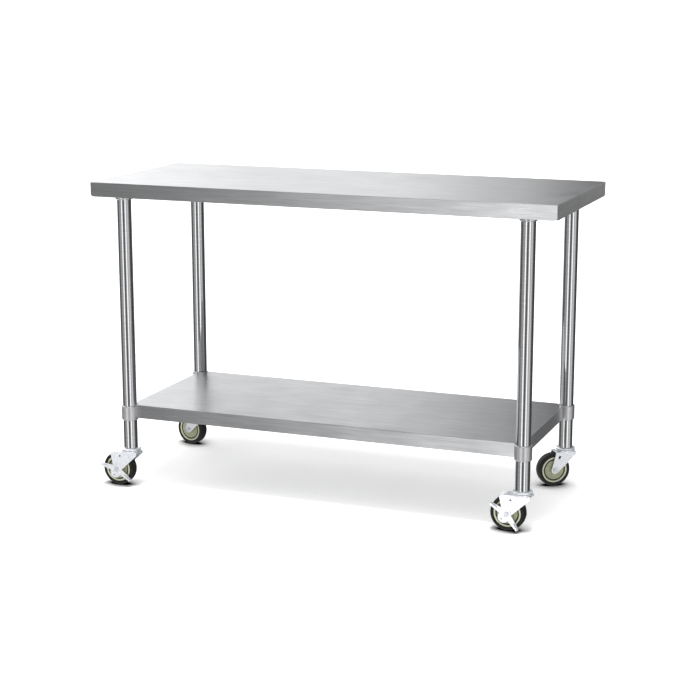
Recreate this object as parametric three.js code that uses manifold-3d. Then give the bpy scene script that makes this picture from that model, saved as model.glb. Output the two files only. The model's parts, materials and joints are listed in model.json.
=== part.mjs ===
// Stainless steel work table on four swivel casters, in millimetres, +Z up.
// The origin is on the floor under the middle of the worktop, +X runs along the table and +Y to its back.
import * as THREE from "three";
import { mergeVertices } from "three/addons/utils/BufferGeometryUtils.js";
import Module from "manifold-3d";

const radians = THREE.MathUtils.degToRad;

// ---- Driving dimensions ----
const TABLE_LENGTH = 1524;
const TABLE_DEPTH = 610;
const TABLE_HEIGHT = 1002;
const GAP = 0.3; // clearance between neighbouring pieces

const SHEET = 1.5; // folded stainless sheet of the worktop and the undershelf
const APRON_HEIGHT = 46;
const APRON_CORNER_RADIUS = 13;
const HEM_WIDTH = 14;

const LEG_X = 665; // leg axes, from the middle of the table
const LEG_Y = 262;
const LEG_RADIUS = 45.4 / 2;
const LEG_WALL = 1.4;
const LEG_FACETS = 24;

const SHELF_TOP = 272; // upper face of the undershelf, above the floor
const SHELF_EDGE = 44;
const SHELF_SETBACK = 2; // from the leg axes in to the shelf's outer faces

const SLEEVE_RADIUS = 27.2; // outside of the leg sockets and of the corner clamps
const CLAMP_HEIGHT = 47;
const CLAMP_DROP = 2; // from the shelf's upper face down to the top of a clamp
const CLAMP_CHAMFER = 1.5; // round the upper edge of a clamp
const CLAMP_BOSS_RADIUS = 7.5; // the boss that carries a clamp's screw
const CLAMP_BOSS_REACH = 8;
const CLAMP_FOOT_REACH = 24; // the foot that carries a corner of the shelf
const CLAMP_FOOT_WIDTH = 24;
const CLAMP_FOOT_THICKNESS = 4;
const SOCKET_LIP = 9; // how far a leg socket shows below the apron
const SOCKET_FLANGE_RADIUS = 37;
const SOCKET_FLANGE = 2.5;
const SCREW_RADIUS = 3;
const SCREW_LENGTH = 11;
const SCREW_FACETS = 10;
const SCREW_HEX_RADIUS = 1.7; // the hexagon socket in the end of a screw
const SCREW_HEX_DEPTH = 4;
const SOCKET_SCREW_HEIGHT = 14; // above the lower end of a leg socket

const CHANNEL_DEPTH = 20; // hat-section channels under both sheets
const CHANNEL_WEB = 60;
const CHANNEL_FLANGE = 15;

const WHEEL_RADIUS = 55;
const WHEEL_FACETS = 32;
const TYRE_HALF_WIDTH = 17.6;
const TYRE_SHOULDER = 5.5; // how far the tyre's shoulder reaches in from the tread
const RIM_RADIUS = 43;
const RIM_HALF_WIDTH = 16;
const RIM_DISH = 3.3; // how far a wheel centre's face sinks towards its hub
const HUB_RADIUS = 13.2;
const HUB_HALF_WIDTH = 18;
const AXLE_RADIUS = 4.4;
const HEX_RADIUS = 8.2; // the axle bolt's head and nut, across the corners, halved
const BOLT_HEAD = 5.8;
const NUT_HEIGHT = 7.1;
const BOLT_TAIL = 2; // how far the axle bolt shows past its nut
const AXLE_DROP = 73; // from the end of the leg tube down to the axle
const TRAIL = 42; // from the swivel axis back to the axle

const STEM_RADIUS = 6.5;
const STEM_LENGTH = 52;
const PLUG_LIP = 12; // the length of a stem plug that fits tightly
const RACE_RADIUS = 32;
const RACE_CHAMFER = 1.6;
const RACE_TAPER = 5; // how far the lower race draws in where it meets the web
const KINGPIN_RADIUS = 7.7;
const KINGPIN_HEAD_RADIUS = 11;
const KINGPIN_HEAD = 3.8;

const FORK_SHEET = 2.75;
const FORK_INNER = 20.6; // half the gap between the side plates of a fork
const TYRE_CLEARANCE = 2.75; // between the tyre and the fork above it
const BOSS_RADIUS = 12.1;
const SIDE_HOLE = { x: -30.8, z: -28, radius: 3.3 }; // in the side plates of a braked fork
const SIDE_SLOT = { x: -27.5, z: -30.2, halfWidth: 3.7, halfStraight: 2.4, lean: radians(70) };

const PEDAL_SHEET = 2.4;
const PEDAL_ARM = 59.5;
const PEDAL_ROOT = 11; // half the width of a pedal arm at the axle, and then at its tip
const PEDAL_TIP = 5.5;
const PEDAL_HUB_RADIUS = 14.3;
const PEDAL_ANGLES = { back: radians(149), front: radians(-53) }; // of the arms, released
const TREAD_LENGTH = 26.4;
const TREAD_WIDTH = 12;
const PEDAL_SKIRT = { x: -8.8, z: -9.9, radius: 17.6 };
const SKIRT_HOLE = { x: -15.4, z: -15.4, radius: 2.75 };
const PEDAL_TRAVEL = radians(18);
const WASHER_RADIUS = 13.2;
const WASHER_SHEET = 1.5;
const WASHER_PLAY = 0.2; // between a released friction washer and the side plate
const BRAKE_STROKE = 0.5; // how far the friction washer moves towards the hub

// ---- Levels worked out from them ----
// The wheels stand on a facet, so the axle is a facet's depth above the floor.
const AXLE_HEIGHT = WHEEL_RADIUS * Math.cos(Math.PI / WHEEL_FACETS);
const LEG_END = AXLE_HEIGHT + AXLE_DROP;
const APRON_BOTTOM = TABLE_HEIGHT - APRON_HEIGHT;
const CHANNEL_TOP = TABLE_HEIGHT - SHEET - GAP;
const SOCKET_TOP = CHANNEL_TOP - CHANNEL_DEPTH - GAP;
const SOCKET_CEILING = SOCKET_TOP - SOCKET_FLANGE;
const SOCKET_BOTTOM = APRON_BOTTOM - SOCKET_LIP;
const LEG_TOP = SOCKET_CEILING - GAP;
const SLEEVE_BORE = LEG_RADIUS + GAP;
const CLAMP_TOP = SHELF_TOP - CLAMP_DROP;
const CLAMP_BOTTOM = CLAMP_TOP - CLAMP_HEIGHT;
const SOCKET_SCREW_LEVEL = SOCKET_BOTTOM + SOCKET_SCREW_HEIGHT;
const CLAMP_SCREW_LEVEL = CLAMP_BOTTOM + CLAMP_HEIGHT / 2;

// ---- Levels in a caster, measured from the end of the leg tube ----
const UPPER_RACE_TOP = -2;
const UPPER_RACE_BOTTOM = -6.9;
const LOWER_RACE_TOP = UPPER_RACE_BOTTOM - 0.5;
const HOOD_RADIUS = WHEEL_RADIUS + TYRE_CLEARANCE + FORK_SHEET; // outside of the fork over the tyre
const FORK_TOP = HOOD_RADIUS - AXLE_DROP;
const FORK_UNDERSIDE = FORK_TOP - FORK_SHEET;
const FORK_OUTER = FORK_INNER + FORK_SHEET;
const FORK_FRONT = 30.2;
const FORK_SHOULDER = -22; // lower end of the side plate's front edge
const PLAIN_FORK_REAR = -39.6;
const HOOD_ANGLE = radians(24); // how far the braked fork's hood follows the tyre
const FORK_CURVE = 5; // steps in each arc of the fork

// ---- Finishes ----
function finish(color, roughness, metalness) {
  return new THREE.MeshStandardMaterial({ color, roughness, metalness });
}

const BRUSHED_SHEET = finish(0xc9cacb, 0.35, 1);
const POLISHED_TUBE = finish(0xbfc0c2, 0.22, 1);
const GALVANISED_STEEL = finish(0xa9adb0, 0.5, 1);
const CAST_ALUMINIUM = finish(0xc4c5c6, 0.5, 1);
const ZINC_PLATE = finish(0xe4e8ee, 0.2, 1);
const SCREW_STEEL = finish(0x9a9da1, 0.3, 1);
const CORE_PLASTIC = finish(0x9da27c, 0.5, 0);
const TYRE_RUBBER = finish(0x191a18, 0.75, 0);
const PLUG_PLASTIC = finish(0x2a2b2c, 0.6, 0);

// ---- Joining and cutting closed geometries ----
const wasm = await Module();
wasm.setup();

function toSolid(geometry) {
  const bare = geometry.clone();
  bare.deleteAttribute("normal");
  bare.deleteAttribute("uv");
  const merged = mergeVertices(bare, 1e-4);
  return new wasm.Manifold(
    new wasm.Mesh({
      numProp: 3,
      vertProperties: merged.attributes.position.array,
      triVerts: new Uint32Array(merged.index.array),
    }),
  );
}

function toGeometry(solid) {
  const mesh = solid.getMesh();
  const geometry = new THREE.BufferGeometry();
  geometry.setAttribute("position", new THREE.BufferAttribute(mesh.vertProperties, 3));
  geometry.setIndex(new THREE.BufferAttribute(mesh.triVerts, 1));
  geometry.computeVertexNormals();
  return geometry;
}

function join(...geometries) {
  return toGeometry(geometries.map(toSolid).reduce((sum, next) => sum.add(next)));
}

function cut(geometry, ...cutters) {
  return toGeometry(cutters.map(toSolid).reduce((rest, next) => rest.subtract(next), toSolid(geometry)));
}

// ---- Basic forms ----
function box(x0, x1, y0, y1, z0, z1) {
  const geometry = new THREE.BoxGeometry(x1 - x0, y1 - y0, z1 - z0);
  return geometry.translate((x0 + x1) / 2, (y0 + y1) / 2, (z0 + z1) / 2);
}

// Turns an outline of [radius, height] pairs about the Y axis. It runs out, up and back in.
function lathe(outline, facets, start = 0) {
  const points = outline.map(([radius, height]) => new THREE.Vector2(radius, height));
  return new THREE.LatheGeometry(points, facets, start);
}

// A solid turned about Z, whose outline starts and ends on the axis.
function turned(outline, facets) {
  return lathe(outline, facets).rotateX(Math.PI / 2);
}

// A hollow ring turned about Z, whose outline closes on itself.
function ring(outline, facets) {
  return turned([...outline, outline[0]], facets);
}

// A ring turned about Y that stands on a facet instead of an edge.
function wheelRing(outline) {
  return lathe([...outline, outline[0]], WHEEL_FACETS, Math.PI / WHEEL_FACETS);
}

function rodAlongX(radius, x0, x1, facets) {
  return rodAlongY(radius, x0, x1, facets).rotateZ(-Math.PI / 2);
}

function rodAlongY(radius, y0, y1, facets) {
  return new THREE.CylinderGeometry(radius, radius, y1 - y0, facets).translate(0, (y0 + y1) / 2, 0);
}

function rodAlongZ(radius, z0, z1, facets) {
  return rodAlongY(radius, z0, z1, facets).rotateX(Math.PI / 2);
}

// A plate between y0 and y1 whose shape is drawn in x and z.
function uprightPlate(shape, y0, y1, curveSegments = 8) {
  const geometry = new THREE.ExtrudeGeometry(shape, { depth: y1 - y0, bevelEnabled: false, curveSegments });
  return geometry.rotateX(Math.PI / 2).translate(0, y1, 0);
}

// ---- Sheet metal ----
// A fold of sheet along X with its outer face at y = 0, and with its two lower corners rounded.
function apron(length, top, bottom, radius) {
  const end = length / 2;
  const shape = new THREE.Shape();
  shape.moveTo(end, top);
  shape.lineTo(-end, top);
  shape.absarc(-end + radius, bottom + radius, radius, Math.PI, 1.5 * Math.PI, false);
  shape.absarc(end - radius, bottom + radius, radius, 1.5 * Math.PI, 2 * Math.PI, false);
  return uprightPlate(shape, 0, SHEET, 4);
}

// A tray open below: a flat sheet, four aprons and a hem folded in under each apron.
function foldedTray(length, depth, top, edge, radius) {
  const bottom = top - edge;
  const pieces = [box(-length / 2, length / 2, -depth / 2, depth / 2, top - SHEET, top)];
  for (const side of [0, 1, 2, 3]) {
    const along = side % 2 ? depth : length;
    const across = side % 2 ? length : depth;
    const straight = along / 2 - radius;
    const hem = box(-straight, straight, 0, HEM_WIDTH, bottom, bottom + SHEET);
    for (const fold of [apron(along, top, bottom, radius), hem]) {
      pieces.push(fold.translate(0, -across / 2, 0).rotateZ((side * Math.PI) / 2));
    }
  }
  return join(...pieces);
}

function worktop() {
  return foldedTray(TABLE_LENGTH, TABLE_DEPTH, TABLE_HEIGHT, APRON_HEIGHT, APRON_CORNER_RADIUS);
}

// The shelf's corners are notched round the corner clamps.
function undershelf() {
  const length = 2 * (LEG_X - SHELF_SETBACK);
  const depth = 2 * (LEG_Y - SHELF_SETBACK);
  const tray = foldedTray(length, depth, SHELF_TOP, SHELF_EDGE, SHEET);
  const notches = CORNERS.map(({ x, y }) => {
    const notch = rodAlongZ(SLEEVE_RADIUS + GAP, SHELF_TOP - 2 * SHELF_EDGE, SHELF_TOP + 1, LEG_FACETS);
    return notch.translate(x, y, 0);
  });
  return cut(tray, ...notches);
}

// A hat-section channel along Y, with its two flanges at the top, at z = 0.
function hatChannel(length) {
  const web = CHANNEL_WEB / 2;
  const edge = web + CHANNEL_FLANGE;
  const shape = new THREE.Shape();
  shape.moveTo(-edge, 0);
  shape.lineTo(-edge, -SHEET);
  shape.lineTo(-web, -SHEET);
  shape.lineTo(-web, -CHANNEL_DEPTH);
  shape.lineTo(web, -CHANNEL_DEPTH);
  shape.lineTo(web, -SHEET);
  shape.lineTo(edge, -SHEET);
  shape.lineTo(edge, 0);
  shape.lineTo(web - SHEET, 0);
  shape.lineTo(web - SHEET, SHEET - CHANNEL_DEPTH);
  shape.lineTo(SHEET - web, SHEET - CHANNEL_DEPTH);
  shape.lineTo(SHEET - web, 0);
  return uprightPlate(shape, -length / 2, length / 2);
}

// ---- Legs and what holds them, each on its own leg axis with +X facing the middle of the table ----
function legTube() {
  const inner = LEG_RADIUS - LEG_WALL;
  return ring([[inner, LEG_END], [LEG_RADIUS, LEG_END], [LEG_RADIUS, LEG_TOP], [inner, LEG_TOP]], LEG_FACETS);
}

// A closed cup with a round flange, fixed under a channel, which takes the top of a leg.
function legSocket() {
  const outline = [
    [0, SOCKET_CEILING],
    [SLEEVE_BORE, SOCKET_CEILING],
    [SLEEVE_BORE, SOCKET_BOTTOM],
    [SLEEVE_RADIUS, SOCKET_BOTTOM],
    [SLEEVE_RADIUS, SOCKET_CEILING],
    [SOCKET_FLANGE_RADIUS, SOCKET_CEILING],
    [SOCKET_FLANGE_RADIUS, SOCKET_TOP],
    [0, SOCKET_TOP],
  ];
  return cut(turned(outline, LEG_FACETS), screwHole(SOCKET_SCREW_LEVEL));
}

// A cast sleeve with a boss for its screw, and a foot that carries the corner of the shelf.
function cornerClamp() {
  const sleeve = ring(
    [
      [SLEEVE_BORE, CLAMP_BOTTOM],
      [SLEEVE_RADIUS, CLAMP_BOTTOM],
      [SLEEVE_RADIUS, CLAMP_TOP - CLAMP_CHAMFER],
      [SLEEVE_RADIUS - CLAMP_CHAMFER, CLAMP_TOP],
      [SLEEVE_BORE, CLAMP_TOP],
    ],
    LEG_FACETS,
  );
  const root = SLEEVE_RADIUS - 2;
  const boss = rodAlongX(CLAMP_BOSS_RADIUS, root, SLEEVE_RADIUS + CLAMP_BOSS_REACH, 12);
  boss.translate(0, 0, CLAMP_SCREW_LEVEL);
  const footTop = SHELF_TOP - SHEET - GAP;
  const footSide = CLAMP_FOOT_WIDTH / 2;
  const footEnd = SLEEVE_RADIUS + CLAMP_FOOT_REACH;
  const foot = box(root, footEnd, -footSide, footSide, footTop - CLAMP_FOOT_THICKNESS, footTop);
  return cut(join(sleeve, boss, foot), screwHole(CLAMP_SCREW_LEVEL));
}

function screwHole(level) {
  const reach = 2 * SLEEVE_RADIUS;
  return rodAlongX(SCREW_RADIUS + GAP, LEG_RADIUS - 2, reach, SCREW_FACETS).translate(0, 0, level);
}

// A grub screw whose tip faces the leg, with a hexagon socket in its outer end.
function grubScrew() {
  const end = SLEEVE_BORE + SCREW_LENGTH;
  const hexSocket = rodAlongX(SCREW_HEX_RADIUS, end - SCREW_HEX_DEPTH, end + 1, 6);
  return cut(rodAlongX(SCREW_RADIUS, SLEEVE_BORE, end, SCREW_FACETS), hexSocket);
}

// ---- Casters, with z = 0 at the end of the leg tube and the wheel trailing towards -X ----
// The stem, the upper race and the kingpin, riveted into one piece.
function stem() {
  const head = FORK_UNDERSIDE - 0.5;
  const outline = [
    [0, head - KINGPIN_HEAD],
    [KINGPIN_HEAD_RADIUS, head - KINGPIN_HEAD],
    [KINGPIN_HEAD_RADIUS, head],
    [KINGPIN_RADIUS, head],
    [KINGPIN_RADIUS, UPPER_RACE_BOTTOM],
    [RACE_RADIUS, UPPER_RACE_BOTTOM],
    [RACE_RADIUS, UPPER_RACE_TOP],
    [RACE_RADIUS - RACE_CHAMFER, -GAP],
    [STEM_RADIUS, -GAP],
    [STEM_RADIUS, STEM_LENGTH],
    [0, STEM_LENGTH],
  ];
  return turned(outline, LEG_FACETS);
}

// The plug that grips the stem inside the leg tube, tight at its lower end.
function stemPlug() {
  const bore = STEM_RADIUS + GAP;
  const outer = LEG_RADIUS - LEG_WALL - GAP;
  const top = STEM_LENGTH - 2;
  return ring([[bore, 0], [outer, 0], [outer, PLUG_LIP], [outer - 1.5, top], [bore, top]], 16);
}

// The angle on the boss at which a line from (x, z) touches it, on the side that the sign gives.
function bossTangent(x, z, sign) {
  const dx = x + TRAIL;
  const dz = z + AXLE_DROP;
  return Math.atan2(dz, dx) + sign * Math.acos(BOSS_RADIUS / Math.hypot(dx, dz));
}

// Draws an arc over the tyre, from straight above the axle to the rear end of the hood or back.
function hoodArc(path, radius, toRear) {
  const above = Math.PI / 2;
  const rear = above + HOOD_ANGLE;
  path.absarc(-TRAIL, -AXLE_DROP, radius, toRear ? above : rear, toRear ? rear : above, !toRear);
}

// A side plate of a fork, which narrows from the race to the boss round the axle.
function forkSide(braked) {
  const rearX = braked ? -TRAIL - HOOD_RADIUS * Math.sin(HOOD_ANGLE) : PLAIN_FORK_REAR;
  const rearZ = braked ? -AXLE_DROP + HOOD_RADIUS * Math.cos(HOOD_ANGLE) : FORK_TOP;
  const rearTangent = bossTangent(rearX, rearZ, 1);
  const frontTangent = bossTangent(FORK_FRONT, FORK_SHOULDER, -1) + 2 * Math.PI;
  const shape = new THREE.Shape();
  shape.absarc(-TRAIL, -AXLE_DROP, BOSS_RADIUS, rearTangent, frontTangent, false);
  shape.lineTo(FORK_FRONT, FORK_SHOULDER);
  shape.lineTo(FORK_FRONT, FORK_TOP);
  if (braked) hoodArc(shape, HOOD_RADIUS, true);
  else shape.lineTo(rearX, rearZ);
  shape.holes.push(circle(-TRAIL, -AXLE_DROP, AXLE_RADIUS + GAP));
  shape.holes.push(braked ? circle(SIDE_HOLE.x, SIDE_HOLE.z, SIDE_HOLE.radius) : slantedSlot(SIDE_SLOT));
  return shape;
}

function circle(x, z, radius) {
  return new THREE.Path().absarc(x, z, radius, 0, 2 * Math.PI, true);
}

// A slot with round ends that leans forward at its top.
function slantedSlot({ x, z, halfWidth, halfStraight, lean }) {
  const dx = halfStraight * Math.cos(lean);
  const dz = halfStraight * Math.sin(lean);
  const slot = new THREE.Path();
  slot.absarc(x + dx, z + dz, halfWidth, lean + Math.PI / 2, lean - Math.PI / 2, true);
  slot.absarc(x - dx, z - dz, halfWidth, lean - Math.PI / 2, lean - 1.5 * Math.PI, true);
  return slot;
}

// The web over the wheel. On a braked fork it carries on as a hood round the tyre.
function forkWeb(braked) {
  const shape = new THREE.Shape();
  shape.moveTo(FORK_FRONT, FORK_UNDERSIDE);
  shape.lineTo(FORK_FRONT, FORK_TOP);
  if (braked) {
    hoodArc(shape, HOOD_RADIUS, true);
    hoodArc(shape, HOOD_RADIUS - FORK_SHEET, false);
  } else {
    shape.lineTo(PLAIN_FORK_REAR, FORK_TOP);
    shape.lineTo(PLAIN_FORK_REAR, FORK_UNDERSIDE);
  }
  return shape;
}

// The swivelling fork: two side plates, the web between them and the lower race on top.
function fork(braked) {
  const bore = KINGPIN_RADIUS + GAP;
  const race = ring(
    [
      [bore, FORK_UNDERSIDE],
      [RACE_RADIUS - RACE_TAPER, FORK_UNDERSIDE],
      [RACE_RADIUS, FORK_TOP - 0.5],
      [RACE_RADIUS, LOWER_RACE_TOP],
      [bore, LOWER_RACE_TOP],
    ],
    LEG_FACETS,
  );
  const side = forkSide(braked);
  const body = join(
    uprightPlate(forkWeb(braked), -FORK_INNER - 1, FORK_INNER + 1, FORK_CURVE),
    uprightPlate(side, -FORK_OUTER, -FORK_INNER, FORK_CURVE),
    uprightPlate(side, FORK_INNER, FORK_OUTER, FORK_CURVE),
    race,
  );
  return cut(body, rodAlongZ(bore, -AXLE_DROP, 0, LEG_FACETS));
}

// ---- What sits on the axle, with the axle along Y through the origin ----
// The moulded wheel centre: a hub, a dished face and a rim, the same on both sides.
function wheelCore() {
  const face = [
    [AXLE_RADIUS + GAP, HUB_HALF_WIDTH],
    [HUB_RADIUS, HUB_HALF_WIDTH],
    [HUB_RADIUS, RIM_HALF_WIDTH - RIM_DISH],
    [RIM_RADIUS - GAP, RIM_HALF_WIDTH],
  ];
  const otherFace = face.map(([radius, side]) => [radius, -side]);
  return wheelRing([...otherFace, ...face.reverse()]);
}

function tyre() {
  const wall = [
    [WHEEL_RADIUS, TYRE_SHOULDER],
    [WHEEL_RADIUS - 1, TYRE_HALF_WIDTH - TYRE_SHOULDER],
    [WHEEL_RADIUS - TYRE_SHOULDER, TYRE_HALF_WIDTH],
    [RIM_RADIUS, TYRE_HALF_WIDTH - 1],
  ];
  const otherWall = wall.map(([radius, side]) => [radius, -side]).reverse();
  return wheelRing([...otherWall, ...wall]);
}

// The axle bolt's head is in front of the fork, and of the pedal where there is one.
function axleBolt(braked) {
  const seat = -FORK_OUTER - GAP - (braked ? PEDAL_SHEET + GAP : 0);
  const tail = FORK_OUTER + GAP + NUT_HEIGHT + BOLT_TAIL;
  return join(rodAlongY(AXLE_RADIUS, seat - 1, tail, 16), rodAlongY(HEX_RADIUS, seat - BOLT_HEAD, seat, 6));
}

function axleNut() {
  const seat = FORK_OUTER + GAP;
  const blank = rodAlongY(HEX_RADIUS, seat, seat + NUT_HEIGHT, 6);
  return cut(blank, rodAlongY(AXLE_RADIUS + GAP, seat - 1, seat + NUT_HEIGHT + 1, 16));
}

// An arm of the pedal: a bar narrowing to its tip, with a tread folded out along one edge.
function pedalArm(angle, treadSign) {
  const face = -FORK_OUTER - GAP;
  const back = face - PEDAL_SHEET;
  const bar = new THREE.Shape();
  bar.moveTo(0, -PEDAL_ROOT);
  bar.lineTo(PEDAL_ARM, -PEDAL_TIP);
  bar.lineTo(PEDAL_ARM, PEDAL_TIP);
  bar.lineTo(0, PEDAL_ROOT);
  const edge = treadSign * PEDAL_TIP;
  const inner = edge - treadSign * PEDAL_SHEET;
  const low = Math.min(edge, inner);
  const tread = box(PEDAL_ARM - TREAD_LENGTH, PEDAL_ARM, back - TREAD_WIDTH, face, low, low + PEDAL_SHEET);
  return join(uprightPlate(bar, back, face), tread).rotateY(-angle);
}

// The rocking brake pedal, in its released place: two arms and a skirt on a hub round the axle bolt.
function brakePedal() {
  const face = -FORK_OUTER - GAP;
  const back = face - PEDAL_SHEET;
  const hub = rodAlongY(PEDAL_HUB_RADIUS, back, face, 24);
  const skirt = rodAlongY(PEDAL_SKIRT.radius, back, face, 24).translate(PEDAL_SKIRT.x, 0, PEDAL_SKIRT.z);
  const arms = [pedalArm(PEDAL_ANGLES.back, -1), pedalArm(PEDAL_ANGLES.front, 1)];
  const bore = rodAlongY(AXLE_RADIUS + GAP, back - 1, face + 1, 16);
  const skirtHole = rodAlongY(SKIRT_HOLE.radius, back - 1, face + 1, 12);
  skirtHole.translate(SKIRT_HOLE.x, 0, SKIRT_HOLE.z);
  return cut(join(...arms, hub, skirt), bore, skirtHole);
}

// The washer that the pedal's cam presses against the wheel hub, in its released place.
function frictionWasher() {
  const start = WASHER_PLAY - FORK_INNER;
  const end = start + WASHER_SHEET;
  return cut(rodAlongY(WASHER_RADIUS, start, end, 20), rodAlongY(AXLE_RADIUS + GAP, start - 1, end + 1, 16));
}

// ---- Assembly ----
// Each corner's leg axis, which way it faces the middle, and how its caster stands.
const CORNERS = [
  { name: "front_left", x: -LEG_X, y: -LEG_Y, inward: radians(45), swivel: 0, brake: "locked" },
  { name: "front_right", x: LEG_X, y: -LEG_Y, inward: radians(135), swivel: 0, brake: "released" },
  { name: "back_right", x: LEG_X, y: LEG_Y, inward: radians(225), swivel: radians(36), brake: null },
  { name: "back_left", x: -LEG_X, y: LEG_Y, inward: radians(315), swivel: radians(-12), brake: null },
];

function piece(name, geometry, material) {
  const mesh = new THREE.Mesh(geometry, material);
  mesh.name = name;
  return mesh;
}

function channel(name, length, top, x, turn) {
  const mesh = piece(name, hatChannel(length), GALVANISED_STEEL);
  mesh.position.set(x, 0, top);
  mesh.rotation.z = turn;
  return mesh;
}

function sheetMetal() {
  const channelHalf = CHANNEL_WEB / 2 + CHANNEL_FLANGE;
  const crossLength = TABLE_DEPTH - 2 * (SHEET + 5);
  const longLength = 2 * (LEG_X - channelHalf - 1);
  const shelfLength = 2 * (LEG_X - SHELF_SETBACK - SHEET - 1);
  const shelfChannelTop = SHELF_TOP - SHEET - GAP;
  const group = new THREE.Group();
  group.add(
    piece("worktop", worktop(), BRUSHED_SHEET),
    channel("left_worktop_channel", crossLength, CHANNEL_TOP, -LEG_X, 0),
    channel("right_worktop_channel", crossLength, CHANNEL_TOP, LEG_X, 0),
    channel("long_worktop_channel", longLength, CHANNEL_TOP, 0, Math.PI / 2),
    piece("undershelf", undershelf(), BRUSHED_SHEET),
    channel("undershelf_channel", shelfLength, shelfChannelTop, 0, Math.PI / 2),
  );
  return group;
}

function leg(corner) {
  const clampScrew = piece(corner.name + "_clamp_screw", grubScrew(), SCREW_STEEL);
  clampScrew.position.z = CLAMP_SCREW_LEVEL;
  const socketScrew = piece(corner.name + "_socket_screw", grubScrew(), SCREW_STEEL);
  socketScrew.position.z = SOCKET_SCREW_LEVEL;
  const group = new THREE.Group();
  group.position.set(corner.x, corner.y, 0);
  group.rotation.z = corner.inward;
  group.add(
    piece(corner.name + "_leg", legTube(), POLISHED_TUBE),
    piece(corner.name + "_leg_socket", legSocket(), CAST_ALUMINIUM),
    socketScrew,
    piece(corner.name + "_corner_clamp", cornerClamp(), CAST_ALUMINIUM),
    clampScrew,
  );
  return group;
}

function brake(corner) {
  const locked = corner.brake === "locked";
  const pedal = piece(corner.name + "_brake_pedal", brakePedal(), ZINC_PLATE);
  pedal.rotation.y = locked ? -PEDAL_TRAVEL : 0;
  const washer = piece(corner.name + "_friction_washer", frictionWasher(), SCREW_STEEL);
  washer.position.y = locked ? BRAKE_STROKE : 0;
  return [pedal, washer];
}

function caster(corner) {
  const braked = corner.brake !== null;
  const onAxle = new THREE.Group();
  onAxle.position.set(-TRAIL, 0, -AXLE_DROP);
  onAxle.add(
    piece(corner.name + "_wheel_core", wheelCore(), CORE_PLASTIC),
    piece(corner.name + "_tyre", tyre(), TYRE_RUBBER),
    piece(corner.name + "_axle_bolt", axleBolt(braked), SCREW_STEEL),
    piece(corner.name + "_axle_nut", axleNut(), SCREW_STEEL),
  );
  if (braked) onAxle.add(...brake(corner));
  const swivelling = new THREE.Group();
  swivelling.rotation.z = corner.swivel;
  swivelling.add(piece(corner.name + "_fork", fork(braked), ZINC_PLATE), onAxle);
  const group = new THREE.Group();
  group.position.set(corner.x, corner.y, LEG_END);
  group.add(
    piece(corner.name + "_caster_stem", stem(), ZINC_PLATE),
    piece(corner.name + "_stem_plug", stemPlug(), PLUG_PLASTIC),
    swivelling,
  );
  return group;
}

const table = new THREE.Group();
table.add(sheetMetal());
for (const corner of CORNERS) {
  table.add(leg(corner), caster(corner));
}

export default table;
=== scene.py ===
"""Finishes the stainless work table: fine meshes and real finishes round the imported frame, in a plain studio.

Everything is in the frame's own axes: +X along the table, +Y to its back, +Z up. Shapes are drawn
in millimetres and placed in metres.
"""

from __future__ import annotations

import json
import logging
import math
from dataclasses import dataclass
from enum import Enum
from typing import Any, Iterable, Sequence

import bmesh
import bpy
from mathutils import Matrix, Vector


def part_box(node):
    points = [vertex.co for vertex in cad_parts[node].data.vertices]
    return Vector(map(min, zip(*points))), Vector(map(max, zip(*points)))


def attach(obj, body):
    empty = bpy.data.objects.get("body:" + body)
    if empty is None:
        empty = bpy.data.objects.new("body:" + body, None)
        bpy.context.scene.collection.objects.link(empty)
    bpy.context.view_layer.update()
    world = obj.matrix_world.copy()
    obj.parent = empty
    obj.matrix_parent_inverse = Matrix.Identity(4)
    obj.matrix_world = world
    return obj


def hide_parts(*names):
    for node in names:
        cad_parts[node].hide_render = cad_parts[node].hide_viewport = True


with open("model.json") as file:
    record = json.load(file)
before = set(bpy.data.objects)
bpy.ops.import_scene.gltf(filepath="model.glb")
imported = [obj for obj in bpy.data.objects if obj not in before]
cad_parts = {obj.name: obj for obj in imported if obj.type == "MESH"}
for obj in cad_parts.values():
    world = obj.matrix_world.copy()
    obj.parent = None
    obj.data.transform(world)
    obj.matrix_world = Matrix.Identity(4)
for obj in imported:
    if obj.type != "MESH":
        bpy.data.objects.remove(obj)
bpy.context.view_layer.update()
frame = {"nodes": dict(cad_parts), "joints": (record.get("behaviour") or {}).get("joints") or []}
JOINTS = {joint["name"]: joint for joint in frame["joints"]}
CORNERS = ("front_left", "front_right", "back_right", "back_left")

LOG = logging.getLogger("work_table")
MM = 0.001
Point = tuple[float, float]
Corner = tuple[float, float, float]
Color = tuple[float, float, float, float]


# ---------------------------------------------------------------------------------------------
# Colours and shader nodes
# ---------------------------------------------------------------------------------------------
def linear(hex_code: str) -> Color:
    """Turns an sRGB hex colour into linear light.

    Args:
        hex_code: six hexadecimal digits.

    Returns:
        Red, green and blue in linear light, and an alpha of one.
    """
    parts = [int(hex_code[start : start + 2], 16) / 255 for start in (0, 2, 4)]
    red, green, blue = (c / 12.92 if c <= 0.04045 else ((c + 0.055) / 1.055) ** 2.4 for c in parts)
    return red, green, blue, 1.0


def add_node(
    tree: bpy.types.NodeTree,
    kind: str,
    settings: dict[str | int, Any] | None = None,
    links: dict[str | int, bpy.types.NodeSocket] | None = None,
) -> bpy.types.Node:
    """Adds a node with its settings and its incoming links.

    Args:
        tree: the node tree that gets the node.
        kind: the node's type name.
        settings: values by attribute name, or by the name or index of an input.
        links: sockets of other nodes, by the name or the index of the input that they feed.

    Returns:
        The new node.
    """
    node = tree.nodes.new(kind)
    for name, value in (settings or {}).items():
        if isinstance(name, str) and hasattr(node, name):
            setattr(node, name, value)
        else:
            node.inputs[name].default_value = value
    for name, socket in (links or {}).items():
        tree.links.new(socket, node.inputs[name])
    return node


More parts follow.
